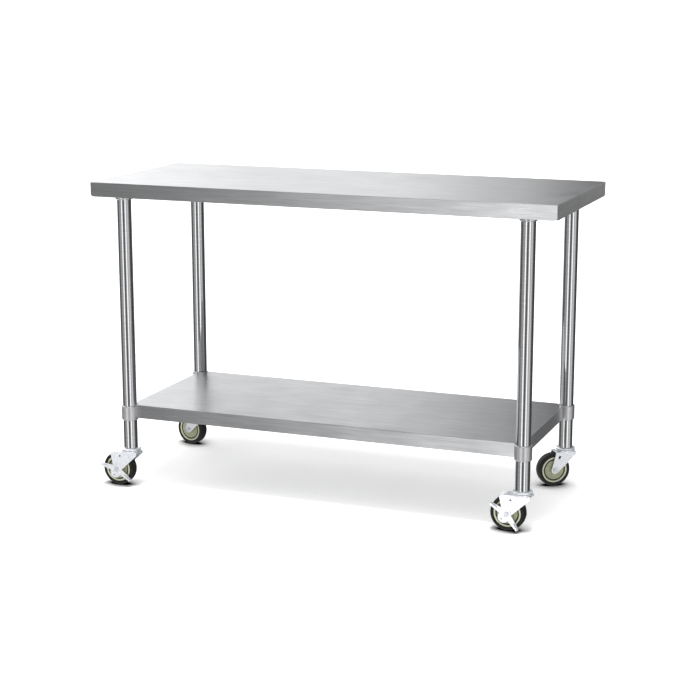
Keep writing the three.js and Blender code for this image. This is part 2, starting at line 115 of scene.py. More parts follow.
def color_ramp(
    tree: bpy.types.NodeTree, source: bpy.types.NodeSocket, stops: Sequence[tuple[float, Color]]
) -> bpy.types.NodeSocket:
    """Turns a number from 0 to 1 into a colour.

    Args:
        tree: the node tree.
        source: the number.
        stops: a place from 0 to 1 and a linear colour for each stop, in rising order.

    Returns:
        The colour's socket.
    """
    node = add_node(tree, "ShaderNodeValToRGB", links={"Fac": source})
    elements = node.color_ramp.elements
    while len(elements) < len(stops):
        elements.new(1.0)
    for element, (place, color) in zip(elements, stops):
        element.position = place
        element.color = color
    return node.outputs["Color"]


def remapped(
    tree: bpy.types.NodeTree, source: bpy.types.NodeSocket, span: Point, result: Point
) -> bpy.types.NodeSocket:
    """Maps a number from one span to another and holds it there.

    Args:
        tree: the node tree.
        source: the number.
        span: the span that it comes in.
        result: what the two ends of that span become.

    Returns:
        The mapped number's socket.
    """
    settings = {"From Min": span[0], "From Max": span[1], "To Min": result[0], "To Max": result[1]}
    return add_node(tree, "ShaderNodeMapRange", settings, {"Value": source}).outputs["Result"]


def noise(
    tree: bpy.types.NodeTree, size_mm: float, detail: float = 3.0, stretch: Corner = (1.0, 1.0, 1.0)
) -> bpy.types.NodeSocket:
    """Gives a noise fixed to the piece, with features of a real size.

    Args:
        tree: the node tree.
        size_mm: the size of a feature.
        detail: how many finer layers it holds.
        stretch: what each axis is multiplied by. A small number draws the pattern out along that axis.

    Returns:
        The noise's socket, from 0 to 1 around a half.
    """
    place = add_node(tree, "ShaderNodeTexCoord").outputs["Object"]
    mapped = add_node(tree, "ShaderNodeMapping", {"Scale": stretch}, {"Vector": place}).outputs["Vector"]
    settings = {"Scale": 1 / (size_mm * MM), "Detail": detail, "Roughness": 0.6}
    return add_node(tree, "ShaderNodeTexNoise", settings, {"Vector": mapped}).outputs["Fac"]


def bump(
    tree: bpy.types.NodeTree, height: bpy.types.NodeSocket, depth_mm: float, strength: float = 0.5
) -> bpy.types.NodeSocket:
    """Turns a height into a bumped normal.

    Args:
        tree: the node tree.
        height: the height, from 0 to 1.
        depth_mm: the real depth of the relief.
        strength: how much of it is used.

    Returns:
        The normal's socket.
    """
    settings = {"Strength": strength, "Distance": depth_mm * MM}
    return add_node(tree, "ShaderNodeBump", settings, {"Height": height}).outputs["Normal"]


def blank_material(name: str, **fixed: float) -> tuple[bpy.types.Material, bpy.types.NodeTree, bpy.types.Node]:
    """Makes a material that holds only a Principled shader and its output.

    Args:
        name: the material's name.
        fixed: the shader's values that are the same all over, with _ for each space in an input's name.

    Returns:
        The material, its node tree and the shader node.
    """
    material = bpy.data.materials.new(name)
    material.use_nodes = True
    tree = material.node_tree
    tree.nodes.clear()
    shader = add_node(tree, "ShaderNodeBsdfPrincipled")
    for key, value in fixed.items():
        shader.inputs[key.replace("_", " ")].default_value = value
    add_node(tree, "ShaderNodeOutputMaterial", links={"Surface": shader.outputs["BSDF"]})
    return material, tree, shader


def feed(tree: bpy.types.NodeTree, shader: bpy.types.Node, **sockets: bpy.types.NodeSocket) -> None:
    """Links sockets to the shader's inputs, with _ for each space in an input's name."""
    for key, socket in sockets.items():
        tree.links.new(socket, shader.inputs[key.replace("_", " ")])


# ---------------------------------------------------------------------------------------------
# Finishes
# ---------------------------------------------------------------------------------------------
class Grain(Enum):
    """The axis that a brushed surface's scratches run along."""

    ALONG_X = 0
    ALONG_Y = 1

    def stretch(self, factor: float) -> Corner:
        """Gives the pattern's scale, drawn out along the grain by a factor."""
        scale = [1.0, 1.0, 1.0]
        scale[self.value] = 1 / factor
        return scale[0], scale[1], scale[2]


@dataclass(frozen=True)
class BrushedStainless:
    """Stainless sheet with a linear satin grain, as an abrasive belt leaves it.

    The scratches lie along one axis, so each highlight smears across them and stands as a soft band
    of light or shade across the sheet. Real scratches are about 0.1 mm apart, which is too fine to
    show, so they are drawn about 1.5 mm apart.
    """

    grain: Grain
    # Names each tray's own copy of the finish. The undershelf's copy has darker tones: painted shade.
    stock: str = "worktop"
    light: str = "D8D9DA"
    dark: str = "BEBFC1"
    roughness: float = 0.31
    scratch_mm: float = 1.5

    def material(self) -> bpy.types.Material:
        """Builds the finish once and returns it."""
        name = f"belt_brushed_stainless_{self.stock}_{self.grain.name.lower()}"
        if name in bpy.data.materials:
            return bpy.data.materials[name]
        material, tree, shader = blank_material(name, Metallic=1.0, Anisotropic=0.9)
        scratches = noise(tree, self.scratch_mm, 3.0, self.grain.stretch(70))
        streaks = noise(tree, 9.0, 3.0, self.grain.stretch(16))
        handling = noise(tree, 140.0, 4.0)
        settings = {"operation": "MULTIPLY_ADD", 1: 0.45}
        lines = add_node(tree, "ShaderNodeMath", settings, {0: streaks, 2: scratches}).outputs["Value"]
        tone = color_ramp(tree, lines, [(0.5, linear(self.dark)), (0.95, linear(self.light))])
        fine = remapped(tree, lines, (0.5, 0.95), (self.roughness + 0.03, self.roughness - 0.03))
        worn = remapped(tree, handling, (0.35, 0.7), (-0.02, 0.04))
        rough = add_node(tree, "ShaderNodeMath", {"operation": "ADD"}, {0: fine, 1: worn}).outputs["Value"]
        across = add_node(tree, "ShaderNodeTangent", {"direction_type": "UV_MAP", "uv_map": "grain"})
        feed(
            tree,
            shader,
            Base_Color=tone,
            Roughness=rough,
            Normal=bump(tree, scratches, 0.05, 0.25),
            Tangent=across.outputs["Tangent"],
        )
        return material


@dataclass(frozen=True)
class PolishedTube:
    """Welded stainless tube, buffed nearly to a mirror, with the faint rings that the buff leaves.

    The rings run round the tube. They are about 0.3 mm apart and are drawn 2 mm apart, so that the
    long reflections look slightly rippled.
    """

    name: str = "buffed_stainless_tube"
    light: str = "D0D1D3"
    dark: str = "BFC0C2"
    roughness: float = 0.085
    ring_mm: float = 2.0

    def material(self) -> bpy.types.Material:
        """Builds the finish once and returns it."""
        if self.name in bpy.data.materials:
            return bpy.data.materials[self.name]
        material, tree, shader = blank_material(self.name, Metallic=1.0)
        rings = noise(tree, self.ring_mm, 2.0, (0.05, 0.05, 1.0))
        smears = noise(tree, 60.0, 4.0)
        tone = color_ramp(tree, rings, [(0.3, linear(self.dark)), (0.65, linear(self.light))])
        rough = remapped(tree, smears, (0.35, 0.7), (self.roughness - 0.02, self.roughness + 0.03))
        feed(tree, shader, Base_Color=tone, Roughness=rough, Normal=bump(tree, rings, 0.02, 0.1))
        return material


@dataclass(frozen=True)
class BareMetal:
    """A cast, plated or turned metal: grain in colour, roughness and height, and rubbed edges.

    The grain has the real size of the casting's sand, the plating or the zinc crystals. Raised edges
    are a little lighter, because that is where hands and boots rub.
    """

    name: str
    light: str
    dark: str
    roughness: float
    grain_mm: float
    relief_mm: float
    metallic: float = 1.0
    crystals: bool = False

    def material(self) -> bpy.types.Material:
        """Builds the finish once and returns it."""
        if self.name in bpy.data.materials:
            return bpy.data.materials[self.name]
        material, tree, shader = blank_material(self.name, Metallic=self.metallic)
        grain = self.crystal_shades(tree) if self.crystals else noise(tree, self.grain_mm, 4.0)
        clouds = noise(tree, 25.0, 3.0)
        mixed = add_node(tree, "ShaderNodeMix", {"data_type": "FLOAT", "Factor": 0.4}, {2: grain, 3: clouds})
        tone = color_ramp(tree, mixed.outputs[0], [(0.3, linear(self.dark)), (0.65, linear(self.light))])
        edge = remapped(tree, add_node(tree, "ShaderNodeNewGeometry").outputs["Pointiness"], (0.53, 0.6), (0, 1))
        settings = {"data_type": "RGBA", 7: linear(self.light)}
        rubbed = add_node(tree, "ShaderNodeMix", settings, {0: edge, 6: tone}).outputs[2]
        rough = remapped(tree, grain, (0.25, 0.75), (self.roughness - 0.05, self.roughness + 0.05))
        relief = bump(tree, grain, self.relief_mm)
        feed(tree, shader, Base_Color=rubbed, Roughness=rough, Normal=relief)
        return material

    def crystal_shades(self, tree: bpy.types.NodeTree) -> bpy.types.NodeSocket:
        """Gives each zinc crystal one shade of its own."""
        place = add_node(tree, "ShaderNodeTexCoord").outputs["Object"]
        cells = add_node(tree, "ShaderNodeTexVoronoi", {"Scale": 1 / (self.grain_mm * MM)}, {"Vector": place})
        return add_node(tree, "ShaderNodeSeparateColor", links={"Color": cells.outputs["Color"]}).outputs["Red"]


@dataclass(frozen=True)
class MouldedPolymer:
    """A moulded plastic or rubber: a matt skin with a fine mould texture and a dusting of floor dirt."""

    name: str
    light: str
    dark: str
    roughness: float
    texture_mm: float
    relief_mm: float
    ior: float

    def material(self) -> bpy.types.Material:
        """Builds the finish once and returns it."""
        if self.name in bpy.data.materials:
            return bpy.data.materials[self.name]
        material, tree, shader = blank_material(self.name, IOR=self.ior)
        skin = noise(tree, self.texture_mm, 3.0)
        marks = noise(tree, 12.0, 5.0)
        tone = color_ramp(tree, marks, [(0.3, linear(self.dark)), (0.7, linear(self.light))])
        rough = remapped(tree, marks, (0.3, 0.7), (self.roughness - 0.07, self.roughness + 0.07))
        feed(tree, shader, Base_Color=tone, Roughness=rough, Normal=bump(tree, skin, self.relief_mm))
        return material


TUBE = PolishedTube()
# Socket cups: the same steel, tumbled instead of buffed, so its reflections are softer.
SOCKET_STEEL = PolishedTube("tumbled_stainless_cup", "D6D7D8", "C4C5C6", 0.24)
# Hot-dip galvanised steel: dull blue-grey crystals a few millimetres across.
GALVANISED = BareMetal("galvanised_steel", "B9BDC0", "979CA0", 0.48, 6.0, 0.02, crystals=True)
# Sand-cast aluminium, tumbled: an even, pale satin with a fine sandy grain.
CAST_ALUMINIUM = BareMetal("cast_aluminium", "E2E3E4", "D6D7D9", 0.9, 0.9, 0.05, metallic=0.05)
# Bright zinc plating on pressed steel, under a clear passivation: a cold, milky near-white.
BRIGHT_ZINC = BareMetal("bright_zinc_plate", "F6F8FC", "E8EBF1", 0.26, 1.6, 0.015, metallic=0.6)
# Zinc-flake coated bolts: greyer than the plating, with a finer grain.
SCREW_STEEL = BareMetal("zinc_flake_bolt_steel", "DDE0E6", "BFC3CA", 0.32, 0.6, 0.02, metallic=0.7)
# Olive polypropylene wheel centre, moulded, with a soft sheen.
OLIVE_CORE = MouldedPolymer("olive_polypropylene", "ACAF90", "989B7E", 0.42, 0.5, 0.02, 1.49)
# The centre's outer ring, where the moulding is thin: a paler copy of the olive moulding, painted light for light
# coming through it.
PALE_RIM = MouldedPolymer("pale_polypropylene", "D4D7BC", "C3C6A8", 0.4, 0.5, 0.02, 1.49)
# Black moulded rubber, matt and slightly greyed.
RUBBER = MouldedPolymer("black_moulded_rubber", "11110F", "080807", 0.66, 0.7, 0.06, 1.52)
# Black nylon plug round the caster stem.
BLACK_NYLON = MouldedPolymer("black_nylon", "303132", "222324", 0.5, 0.6, 0.02, 1.53)


# ---------------------------------------------------------------------------------------------
# Mesh tools, in millimetres
# ---------------------------------------------------------------------------------------------
def finished(shape: bmesh.types.BMesh) -> bpy.types.Mesh:
    """Turns an edited shape, which is freed, into a mesh with its faces facing out."""
    bmesh.ops.recalc_face_normals(shape, faces=shape.faces)
    mesh = bpy.data.meshes.new("shape")
    shape.to_mesh(mesh)
    shape.free()
    return mesh


def moved(mesh: bpy.types.Mesh, matrix: Matrix) -> bpy.types.Mesh:
    """Moves a mesh's points by a matrix, and turns its faces out again if the matrix mirrors it."""
    mesh.transform(matrix)
    if matrix.determinant() < 0:
        mesh.flip_normals()
    return mesh


def fillet(corners: Iterable[Corner], steps: int = 5) -> list[Point]:
    """Rounds the corners of a closed outline.

    Args:
        corners: for each corner its two coordinates and the radius of its rounding, 0 for a sharp one.
        steps: how many segments each rounding has.

    Returns:
        The outline's points, in the same order.
    """
    items = list(corners)
    outline: list[Point] = []
    for index, (x, y, radius) in enumerate(items):
        here = Vector((x, y))
        before = (Vector(items[index - 1][:2]) - here).normalized()
        after = (Vector(items[(index + 1) % len(items)][:2]) - here).normalized()
        half = before.angle(after) / 2
        if radius <= 0 or math.pi / 2 - half < 0.01:
            outline.append((x, y))
            continue
        centre = here + (before + after).normalized() * (radius / math.sin(half))
        start = here + before * (radius / math.tan(half)) - centre
        end = here + after * (radius / math.tan(half)) - centre
        from_angle = math.atan2(start.y, start.x)
        turn = math.remainder(math.atan2(end.y, end.x) - from_angle, 2 * math.pi)
        outline += arc(centre.x, centre.y, radius, from_angle, from_angle + turn, steps)
    return outline


def arc(x: float, y: float, radius: float, start: float, end: float, steps: int) -> list[Point]:
    """Gives the points of an arc from one angle to another, both ends included.

    Args:
        x: the centre's first coordinate.
        y: the centre's second coordinate.
        radius: the arc's radius.
        start: the angle that it starts at, in radians.
        end: the angle that it ends at.
        steps: how many segments it has.

    Returns:
        One more point than it has segments.
    """
    angles = [start + (end - start) * step / steps for step in range(steps + 1)]
    return [(x + radius * math.cos(angle), y + radius * math.sin(angle)) for angle in angles]


def circle(x: float, y: float, radius: float, steps: int = 40) -> list[Point]:
    """Gives the points of a full circle."""
    return arc(x, y, radius, 0, 2 * math.pi, steps)[:-1]


def lathe(profile: Sequence[Point], segments: int = 96, closed: bool = True) -> bpy.types.Mesh:
    """Turns a profile about the Z axis.

    Args:
        profile: radius and height of each point.
        segments: how many steps the full turn has.
        closed: whether the profile closes on itself. If not, it starts and ends on the axis.

    Returns:
        The turned mesh.
    """
    shape = bmesh.new()
    rings: list[list[bmesh.types.BMVert]] = []
    for radius, height in profile:
        if radius < 1e-6:
            rings.append([shape.verts.new((0.0, 0.0, height))] * segments)
        else:
            rings.append([shape.verts.new((x, y, height)) for x, y in circle(0, 0, radius, segments)])
    pairs = zip(rings, rings[1:] + rings[:1]) if closed else zip(rings, rings[1:])
    for lower, upper in pairs:
        for step in range(segments):
            after = (step + 1) % segments
            loop = (lower[step], lower[after], upper[after], upper[step])
            shape.faces.new(list(dict.fromkeys(loop)))
    return finished(shape)


def rod(radius: float, start: float, end: float, segments: int = 32) -> bpy.types.Mesh:
    """Makes a rod about Z, a tool for cutting holes."""
    return lathe([(0, start), (radius, start), (radius, end), (0, end)], segments, closed=False)


def prism(outline: Sequence[Point], start: float, end: float) -> bpy.types.Mesh:
    """Raises an outline drawn in X and Y into a straight solid from one height to another."""
    shape = bmesh.new()
    lower = [shape.verts.new((x, y, start)) for x, y in outline]
    upper = [shape.verts.new((x, y, end)) for x, y in outline]
    shape.faces.new(lower)
    shape.faces.new(upper)
    for index, corner in enumerate(lower):
        after = (index + 1) % len(lower)
        shape.faces.new((corner, lower[after], upper[after], upper[index]))
    return finished(shape)


def plate(
    outline: Sequence[Point], thickness: float, edge: float = 0.4, holes: Sequence[Sequence[Point]] = ()
) -> bpy.types.Mesh:
    """Presses a plate with softened edges from an outline, lying in X and Y around z = 0.

    Args:
        outline: the plate's outer outline.
        thickness: its full thickness.
        edge: the radius of its softened edges.
        holes: outlines of the holes through it.

    Returns:
        The plate's mesh.
    """
    blank = prism(outline, -thickness / 2, thickness / 2)
    if holes:
        blank = combined("DIFFERENCE", blank, *(prism(hole, -thickness, thickness) for hole in holes))
    return softened(blank, edge, 2, 50.0)


def block(low: Sequence[float], high: Sequence[float]) -> bpy.types.Mesh:
    """Makes a rectangular block between two corners, from which sheet metal is cut."""
    (x0, y0, z0), (x1, y1, z1) = low, high
    return prism([(x0, y0), (x1, y0), (x1, y1), (x0, y1)], z0, z1)


def sweep(section: Sequence[Point], stations: Sequence[tuple[Point, float]]) -> bpy.types.Mesh:
    """Sweeps a closed section along a path in X and Z.

    Args:
        section: the section's points, each a distance along Y and a distance outwards from the path.
        stations: the path's points, each in x and z with the angle of the outward direction there.

    Returns:
        The swept mesh, closed at both ends.
    """
    shape = bmesh.new()
    loops = []
    for (x, z), angle in stations:
        out_x, out_z = math.cos(angle), math.sin(angle)
        loops.append([shape.verts.new((x + out_x * out, across, z + out_z * out)) for across, out in section])
    for first, second in zip(loops, loops[1:]):
        for index, corner in enumerate(first):
            after = (index + 1) % len(first)
            shape.faces.new((corner, first[after], second[after], second[index]))
    shape.faces.new(loops[0])
    shape.faces.new(loops[-1])
    return finished(shape)


def evaluated(mesh: bpy.types.Mesh, modifiers: Sequence[tuple[str, dict[str, Any]]]) -> bpy.types.Mesh:
    """Runs modifiers on a mesh, which is used up.

    Args:
        mesh: the mesh.
        modifiers: each modifier's type and its settings.

    Returns:
        The new mesh.
    """
    holder = bpy.data.objects.new("holder", mesh)
    bpy.context.scene.collection.objects.link(holder)
    for kind, settings in modifiers:
        modifier = holder.modifiers.new(kind, kind)
        for name, value in settings.items():
            setattr(modifier, name, value)
    result = bpy.data.meshes.new_from_object(holder.evaluated_get(bpy.context.evaluated_depsgraph_get()))
    bpy.data.objects.remove(holder)
    bpy.data.meshes.remove(mesh)
    return result


def combined(operation: str, base: bpy.types.Mesh, *others: bpy.types.Mesh) -> bpy.types.Mesh:
    """Joins, cuts or intersects solids into one clean solid. All of them are used up.

    Args:
        operation: UNION, DIFFERENCE or INTERSECT.
        base: the solid that is added to or cut.
        others: the solids that are added, cut away or kept in common.

    Returns:
        The new mesh.
    """
    tools = []
    for mesh in others:
        tool = bpy.data.objects.new("tool", mesh)
        bpy.context.scene.collection.objects.link(tool)
        tools.append(tool)
    steps = [("BOOLEAN", {"operation": operation, "solver": "MANIFOLD", "object": tool}) for tool in tools]
    result = evaluated(base, steps)
    for tool, mesh in zip(tools, others):
        bpy.data.objects.remove(tool)
        bpy.data.meshes.remove(mesh)
    shape = bmesh.new()
    shape.from_mesh(result)
    bpy.data.meshes.remove(result)
    bmesh.ops.remove_doubles(shape, verts=shape.verts, dist=1e-3)
    bmesh.ops.dissolve_limit(shape, angle_limit=math.radians(0.3), verts=shape.verts, edges=shape.edges)
    return finished(shape)


def softened(mesh: bpy.types.Mesh, width: float, segments: int = 2, angle: float = 30.0) -> bpy.types.Mesh:
    """Rounds off a mesh's edges that are sharper than an angle in degrees. The mesh is used up."""
    settings = {"width": width, "segments": segments, "limit_method": "ANGLE", "angle_limit": math.radians(angle)}
    return evaluated(mesh, [("BEVEL", settings)])


def node_box(node: str) -> tuple[Vector, Vector]:
    """Gives a frame node's lowest and highest corners in millimetres."""
    low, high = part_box(node)
    return low / MM, high / MM


# Stands a shape drawn in X and Y up in Y and Z, facing along X.
SHAPE_TO_END = Matrix(((0, 0, 1, 0), (1, 0, 0, 0), (0, 1, 0, 0), (0, 0, 0, 1)))


def upright(mesh: bpy.types.Mesh, y: float = 0.0) -> bpy.types.Mesh:
    """Stands a shape drawn in X and Y up in X and Z, with its middle plane at a given y."""
    return moved(mesh, Matrix.Translation((0, y, 0)) @ Matrix.Rotation(math.pi / 2, 4, "X"))


def place_piece(
    name: str,
    mesh: bpy.types.Mesh,
    where: Matrix,
    finishes: Sequence[bpy.types.Material],
    body: str,
    slot: str,
    *nodes: str,
) -> bpy.types.Object:
    """Places a finished piece on its body and hides the frame nodes that it stands for.

    Args:
        name: the piece's name.
        mesh: its mesh in millimetres, in its own axes.
        where: its own axes in the table's, in millimetres.
        finishes: its materials, in the order of its material numbers.
        body: the body that it rides on.
        slot: the record's material slot that its finish belongs to. It is not used.
        nodes: the frame nodes that it stands for.

    Returns:
        The new object.
    """
    mesh.transform(Matrix.Diagonal((MM, MM, MM, 1.0)) @ where)
    for finish in finishes:
        mesh.materials.append(finish)
    mesh.shade_smooth()
    mesh.set_sharp_from_angle(angle=math.radians(32))
    # The large faces keep their own normals, so that only the narrow rounded edges bend the reflections.
    mesh = evaluated(mesh, [("WEIGHTED_NORMAL", {"keep_sharp": True, "weight": 100})])
    mesh.name = name
    piece = bpy.data.objects.new(name, mesh)
    bpy.context.scene.collection.objects.link(piece)
    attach(piece, body)
    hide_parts(*nodes)
    LOG.info("%s rides on %s", name, body)
    return piece


# ---------------------------------------------------------------------------------------------
# Sheet metal
# ---------------------------------------------------------------------------------------------
@dataclass
class FoldedTray:
    """A sheet folded down on four sides, with a hem turned in under each apron."""

    node: str
    piece: str
    corner_radius: float = 0.0
    notch_radius: float = 0.0
    # The undershelf passes darker tones here: painted shade from the worktop above it.
    light: str = "D8D9DA"
    dark: str = "BEBFC1"
    sheet: float = 1.5
    hem: float = 14.0
    bend: float = 1.6

    def build(self) -> bpy.types.Mesh:
        """Folds the tray: its outer form, hollowed from below, with its corners rounded or notched.

        Returns:
            The mesh, in the table's axes.
        """
        low, high = node_box(self.node)
        inset = Vector((self.sheet, self.sheet, self.sheet))
        opening = Vector((self.hem, self.hem, 0.0))
        ceiling = Vector((0.0, 0.0, high.z - low.z - 2 * self.sheet))
        hollow = block(low + inset, high - inset)
        mouth = block(low + opening - Vector((0.0, 0.0, self.sheet)), high - opening - ceiling)
        tools = [hollow, mouth]
        if self.corner_radius:
            tools += self.corner_tools(low, high)
        if self.notch_radius:
            tools += self.notch_tools(low, high)
        return combined("DIFFERENCE", softened(block(low, high), self.bend, 3), *tools)

    def corner_tools(self, low: Vector, high: Vector) -> list[bpy.types.Mesh]:
        """Makes the tools that round the aprons' lower corners and end the hems short of them.

        Args:
            low: the tray's lowest corner.
            high: its highest corner.

        Returns:
            For each corner of the tray, a tool for either apron and one for the hems.
        """
        radius, sheet = self.corner_radius, self.sheet
        quarter = arc(radius, radius, radius, math.pi, 1.5 * math.pi, 10)
        beside = [(-1.0, radius), *quarter, (radius, -1.0), (-1.0, -1.0)]
        tools = []
        for x, turn_x in ((low.x, 1), (high.x, -1)):
            for y, turn_y in ((low.y, 1), (high.y, -1)):
                corner = Matrix.Translation((x, y, low.z)) @ Matrix.Diagonal((turn_x, turn_y, 1, 1))
                depth = sheet + 0.01
                long_apron = upright(prism(beside, -depth, 1.0))
                end_apron = moved(prism(beside, -1.0, depth), SHAPE_TO_END)
                hems = block((sheet, sheet, -1.0), (radius, radius, depth))
                tools += [moved(tool, corner) for tool in (long_apron, end_apron, hems)]
        return tools

    def notch_tools(self, low: Vector, high: Vector) -> list[bpy.types.Mesh]:
        """Makes the round tools that notch the tray's corners round the leg axes."""
        tools = []
        for corner in CORNERS:
            leg_low, leg_high = node_box(f"{corner}_leg")
            axis = (leg_low + leg_high) / 2
            tool = rod(self.notch_radius, low.z - 1, high.z + 1, 96)
            tools.append(moved(tool, Matrix.Translation((axis.x, axis.y, 0))))
        return tools

    def dress(self) -> None:
        """Places the tray, with its grain along the sheet and along each folded end."""
        mesh = self.build()
        grains = (Grain.ALONG_X, Grain.ALONG_Y)
        finishes = [BrushedStainless(grain, self.node, self.light, self.dark).material() for grain in grains]
        for polygon in mesh.polygons:
            polygon.material_index = int(abs(polygon.normal.x) > 0.75)
        piece = place_piece(self.piece, mesh, Matrix(), finishes, "frame", "brushed_stainless", self.node)
        lay_grain(piece.data, grains)


def lay_grain(mesh: bpy.types.Mesh, grains: Sequence[Grain]) -> None:
    """Adds the grain map. Its first coordinate runs across the scratches, which is how highlights smear.

    Args:
        mesh: the placed mesh.
        grains: the grain of each of its materials.
    """
    layer = mesh.uv_layers.new(name="grain")
    for polygon in mesh.polygons:
        along = grains[polygon.material_index].value
        facing = [abs(part) for part in polygon.normal]
        facing[along] = 2.0
        across = facing.index(min(facing))
        for loop in polygon.loop_indices:
            place = mesh.vertices[mesh.loops[loop].vertex_index].co
            layer.data[loop].uv = (place[across], place[along])


@dataclass
class HiddenSteel:
    """The frame's own pieces that stay as they are: channels, screws and stem plugs."""

    edge_mm: float = 0.6

    def dress(self) -> None:
        """Gives each piece its finish, and the channels the soft edges of folded sheet."""
        for name, node in frame["nodes"].items():
            finish = None
            if name.endswith("_channel"):
                finish = GALVANISED
                rounding = node.modifiers.new("folded_edges", "BEVEL")
                rounding.width = self.edge_mm * MM
                rounding.segments = 2
                rounding.limit_method = "ANGLE"
            elif name.endswith("_screw"):
                finish = SCREW_STEEL
            elif name.endswith("_plug"):
                finish = BLACK_NYLON
            if finish:
                node.data.materials.clear()
                node.data.materials.append(finish.material())
                LOG.info("%s stays, in %s", name, finish.name)


# ---------------------------------------------------------------------------------------------
# Legs
# ---------------------------------------------------------------------------------------------
@dataclass
class Leg:
    """A leg tube, the socket that takes its top and the clamp that holds the shelf on it."""

    corner: str
    wall: float = 1.4
    sleeve_radius: float = 27.2
    gap: float = 0.3
    flange: float = 2.5
    flange_radius: float = 37.0
    clamp_drop: float = 2.0
    boss_radius: float = 7.5
    screw_radius: float = 3.3
    foot_length: float = 24.0
    foot_thickness: float = 4.0

    def __post_init__(self) -> None:
        """Reads the leg's axis, ends and radius from the frame."""
        self.low, self.high = node_box(f"{self.corner}_leg")
        middle = (self.low + self.high) / 2
        self.radius = (self.high.y - self.low.y) / 2
        self.axis = Matrix.Translation((middle.x, middle.y, 0.0))
        inward = math.atan2(-math.copysign(1, middle.y), -math.copysign(1, middle.x))
        self.facing = self.axis @ Matrix.Rotation(inward, 4, "Z")

    def tube(self) -> bpy.types.Mesh:
        """Draws the leg tube, with its two cut ends eased."""
        inner, outer = self.radius - self.wall, self.radius
        low, high = self.low.z, self.high.z
        return lathe(fillet([(inner, low, 0.3), (outer, low, 0.5), (outer, high, 0.5), (inner, high, 0.3)], 3))

    def socket(self) -> bpy.types.Mesh:
        """Turns the flanged cup under the worktop."""
        low, high = node_box(f"{self.corner}_leg_socket")
        bore = self.radius + self.gap
        ceiling = high.z - self.flange
        outline = fillet(
            [
                (0.0, ceiling, 0),
                (bore, ceiling, 0.8),
                (bore, low.z, 0.6),
                (self.sleeve_radius, low.z, 3.0),
                (self.sleeve_radius, ceiling, 3.0),
                (self.flange_radius, ceiling, 0.8),
                (self.flange_radius, high.z, 0.8),
                (0.0, high.z, 0),
            ]
        )
        cup = lathe(outline, closed=False)
        screw_low, screw_high = node_box(f"{self.corner}_socket_screw")
        return combined("DIFFERENCE", cup, self.screw_hole((screw_low.z + screw_high.z) / 2))

    def clamp(self) -> bpy.types.Mesh:
        """Casts the corner clamp: a sleeve with a screw boss and a foot under the corner of the shelf."""
        low, _ = node_box(f"{self.corner}_corner_clamp")
        top = node_box("undershelf")[1].z - self.clamp_drop
        bore, outer = self.radius + self.gap, self.sleeve_radius
        corners = [(bore, low.z, 0.8), (outer, low.z, 3.2), (outer, top, 2.0), (bore, top, 0.8)]
        level = (low.z + top) / 2
        root, end = outer - 3, outer + 8
        boss_corners = [(0, root, 0), (self.boss_radius + 1, root, 0), (self.boss_radius, end, 1.5), (0, end, 0)]
        boss = moved(lathe(fillet(boss_corners), 48, closed=False), along_x(level))
        tip = outer + self.foot_length
        foot_outline = fillet([(outer - 3, -14, 0), (tip, -12, 5), (tip, 12, 5), (outer - 3, 14, 0)])
        foot = plate(foot_outline, self.foot_thickness, 0.7)
        foot = moved(foot, Matrix.Translation((0, 0, top + 0.2 - self.foot_thickness / 2)))
        casting = combined("UNION", lathe(fillet(corners, 6)), boss, foot)
        return combined("DIFFERENCE", casting, self.screw_hole(level))

    def screw_hole(self, level: float) -> bpy.types.Mesh:
        """Makes the tool for the screw hole at a level, facing the middle of the table."""
        return moved(rod(self.screw_radius, self.radius - 2, 2 * self.sleeve_radius, 24), along_x(level))

    def dress(self) -> None:
        """Places the tube, the socket and the clamp."""
        pieces = (
            ("leg_tube", self.tube(), self.axis, TUBE, "stainless_tube", "leg"),
            ("socket_cup", self.socket(), self.facing, SOCKET_STEEL, "cast_aluminium", "leg_socket"),
            ("clamp_casting", self.clamp(), self.facing, CAST_ALUMINIUM, "cast_aluminium", "corner_clamp"),
        )
        for name, mesh, where, finish, slot, node in pieces:
            node_name = f"{self.corner}_{node}"
            place_piece(f"{self.corner}_{name}", mesh, where, [finish.material()], "frame", slot, node_name)


def along_x(level: float) -> Matrix:
    """Turns a shape made about Z so that it lies along X at a level."""
    return Matrix.Translation((0, 0, level)) @ Matrix.Rotation(math.pi / 2, 4, "Y")


# ---------------------------------------------------------------------------------------------
# Casters
# ---------------------------------------------------------------------------------------------
@dataclass
class Caster:
    """Where a caster's parts stand, read from the frame's joints, and the sizes that they share.

    Its fork and stem are drawn with z = 0 at the end of the leg tube and the wheel trailing towards
    -X, and what sits on the axle is drawn with the axle along Y through the origin.
    """

    corner: str
    fork_sheet: float = 2.75
    fork_inner: float = 20.6
    axle_radius: float = 4.4
    gap: float = 0.3
    race_radius: float = 32.0
    kingpin_radius: float = 7.7
    pedal_sheet: float = 2.4

    def __post_init__(self) -> None:
        """Reads the swivel and the axle from the joints."""
        swivel, spin = (JOINTS[f"{self.corner}_{name}"] for name in ("swivel", "wheel_spin"))
        top, middle = Vector(swivel["pos_m"]) / MM, Vector(spin["pos_m"]) / MM
        turn = Matrix.Rotation(math.atan2(-spin["axis"][0], spin["axis"][1]), 4, "Z")
        self.on_swivel = Matrix.Translation(top) @ turn
        self.on_leg = Matrix.Translation(top)
        self.on_axle = Matrix.Translation(middle) @ turn
        self.drop = top.z - middle.z
        self.trail = (top - middle).xy.length
        self.wheel_radius = middle.z
        self.braked = f"{self.corner}_pedal_rock" in JOINTS
        self.fork_outer = self.fork_inner + self.fork_sheet


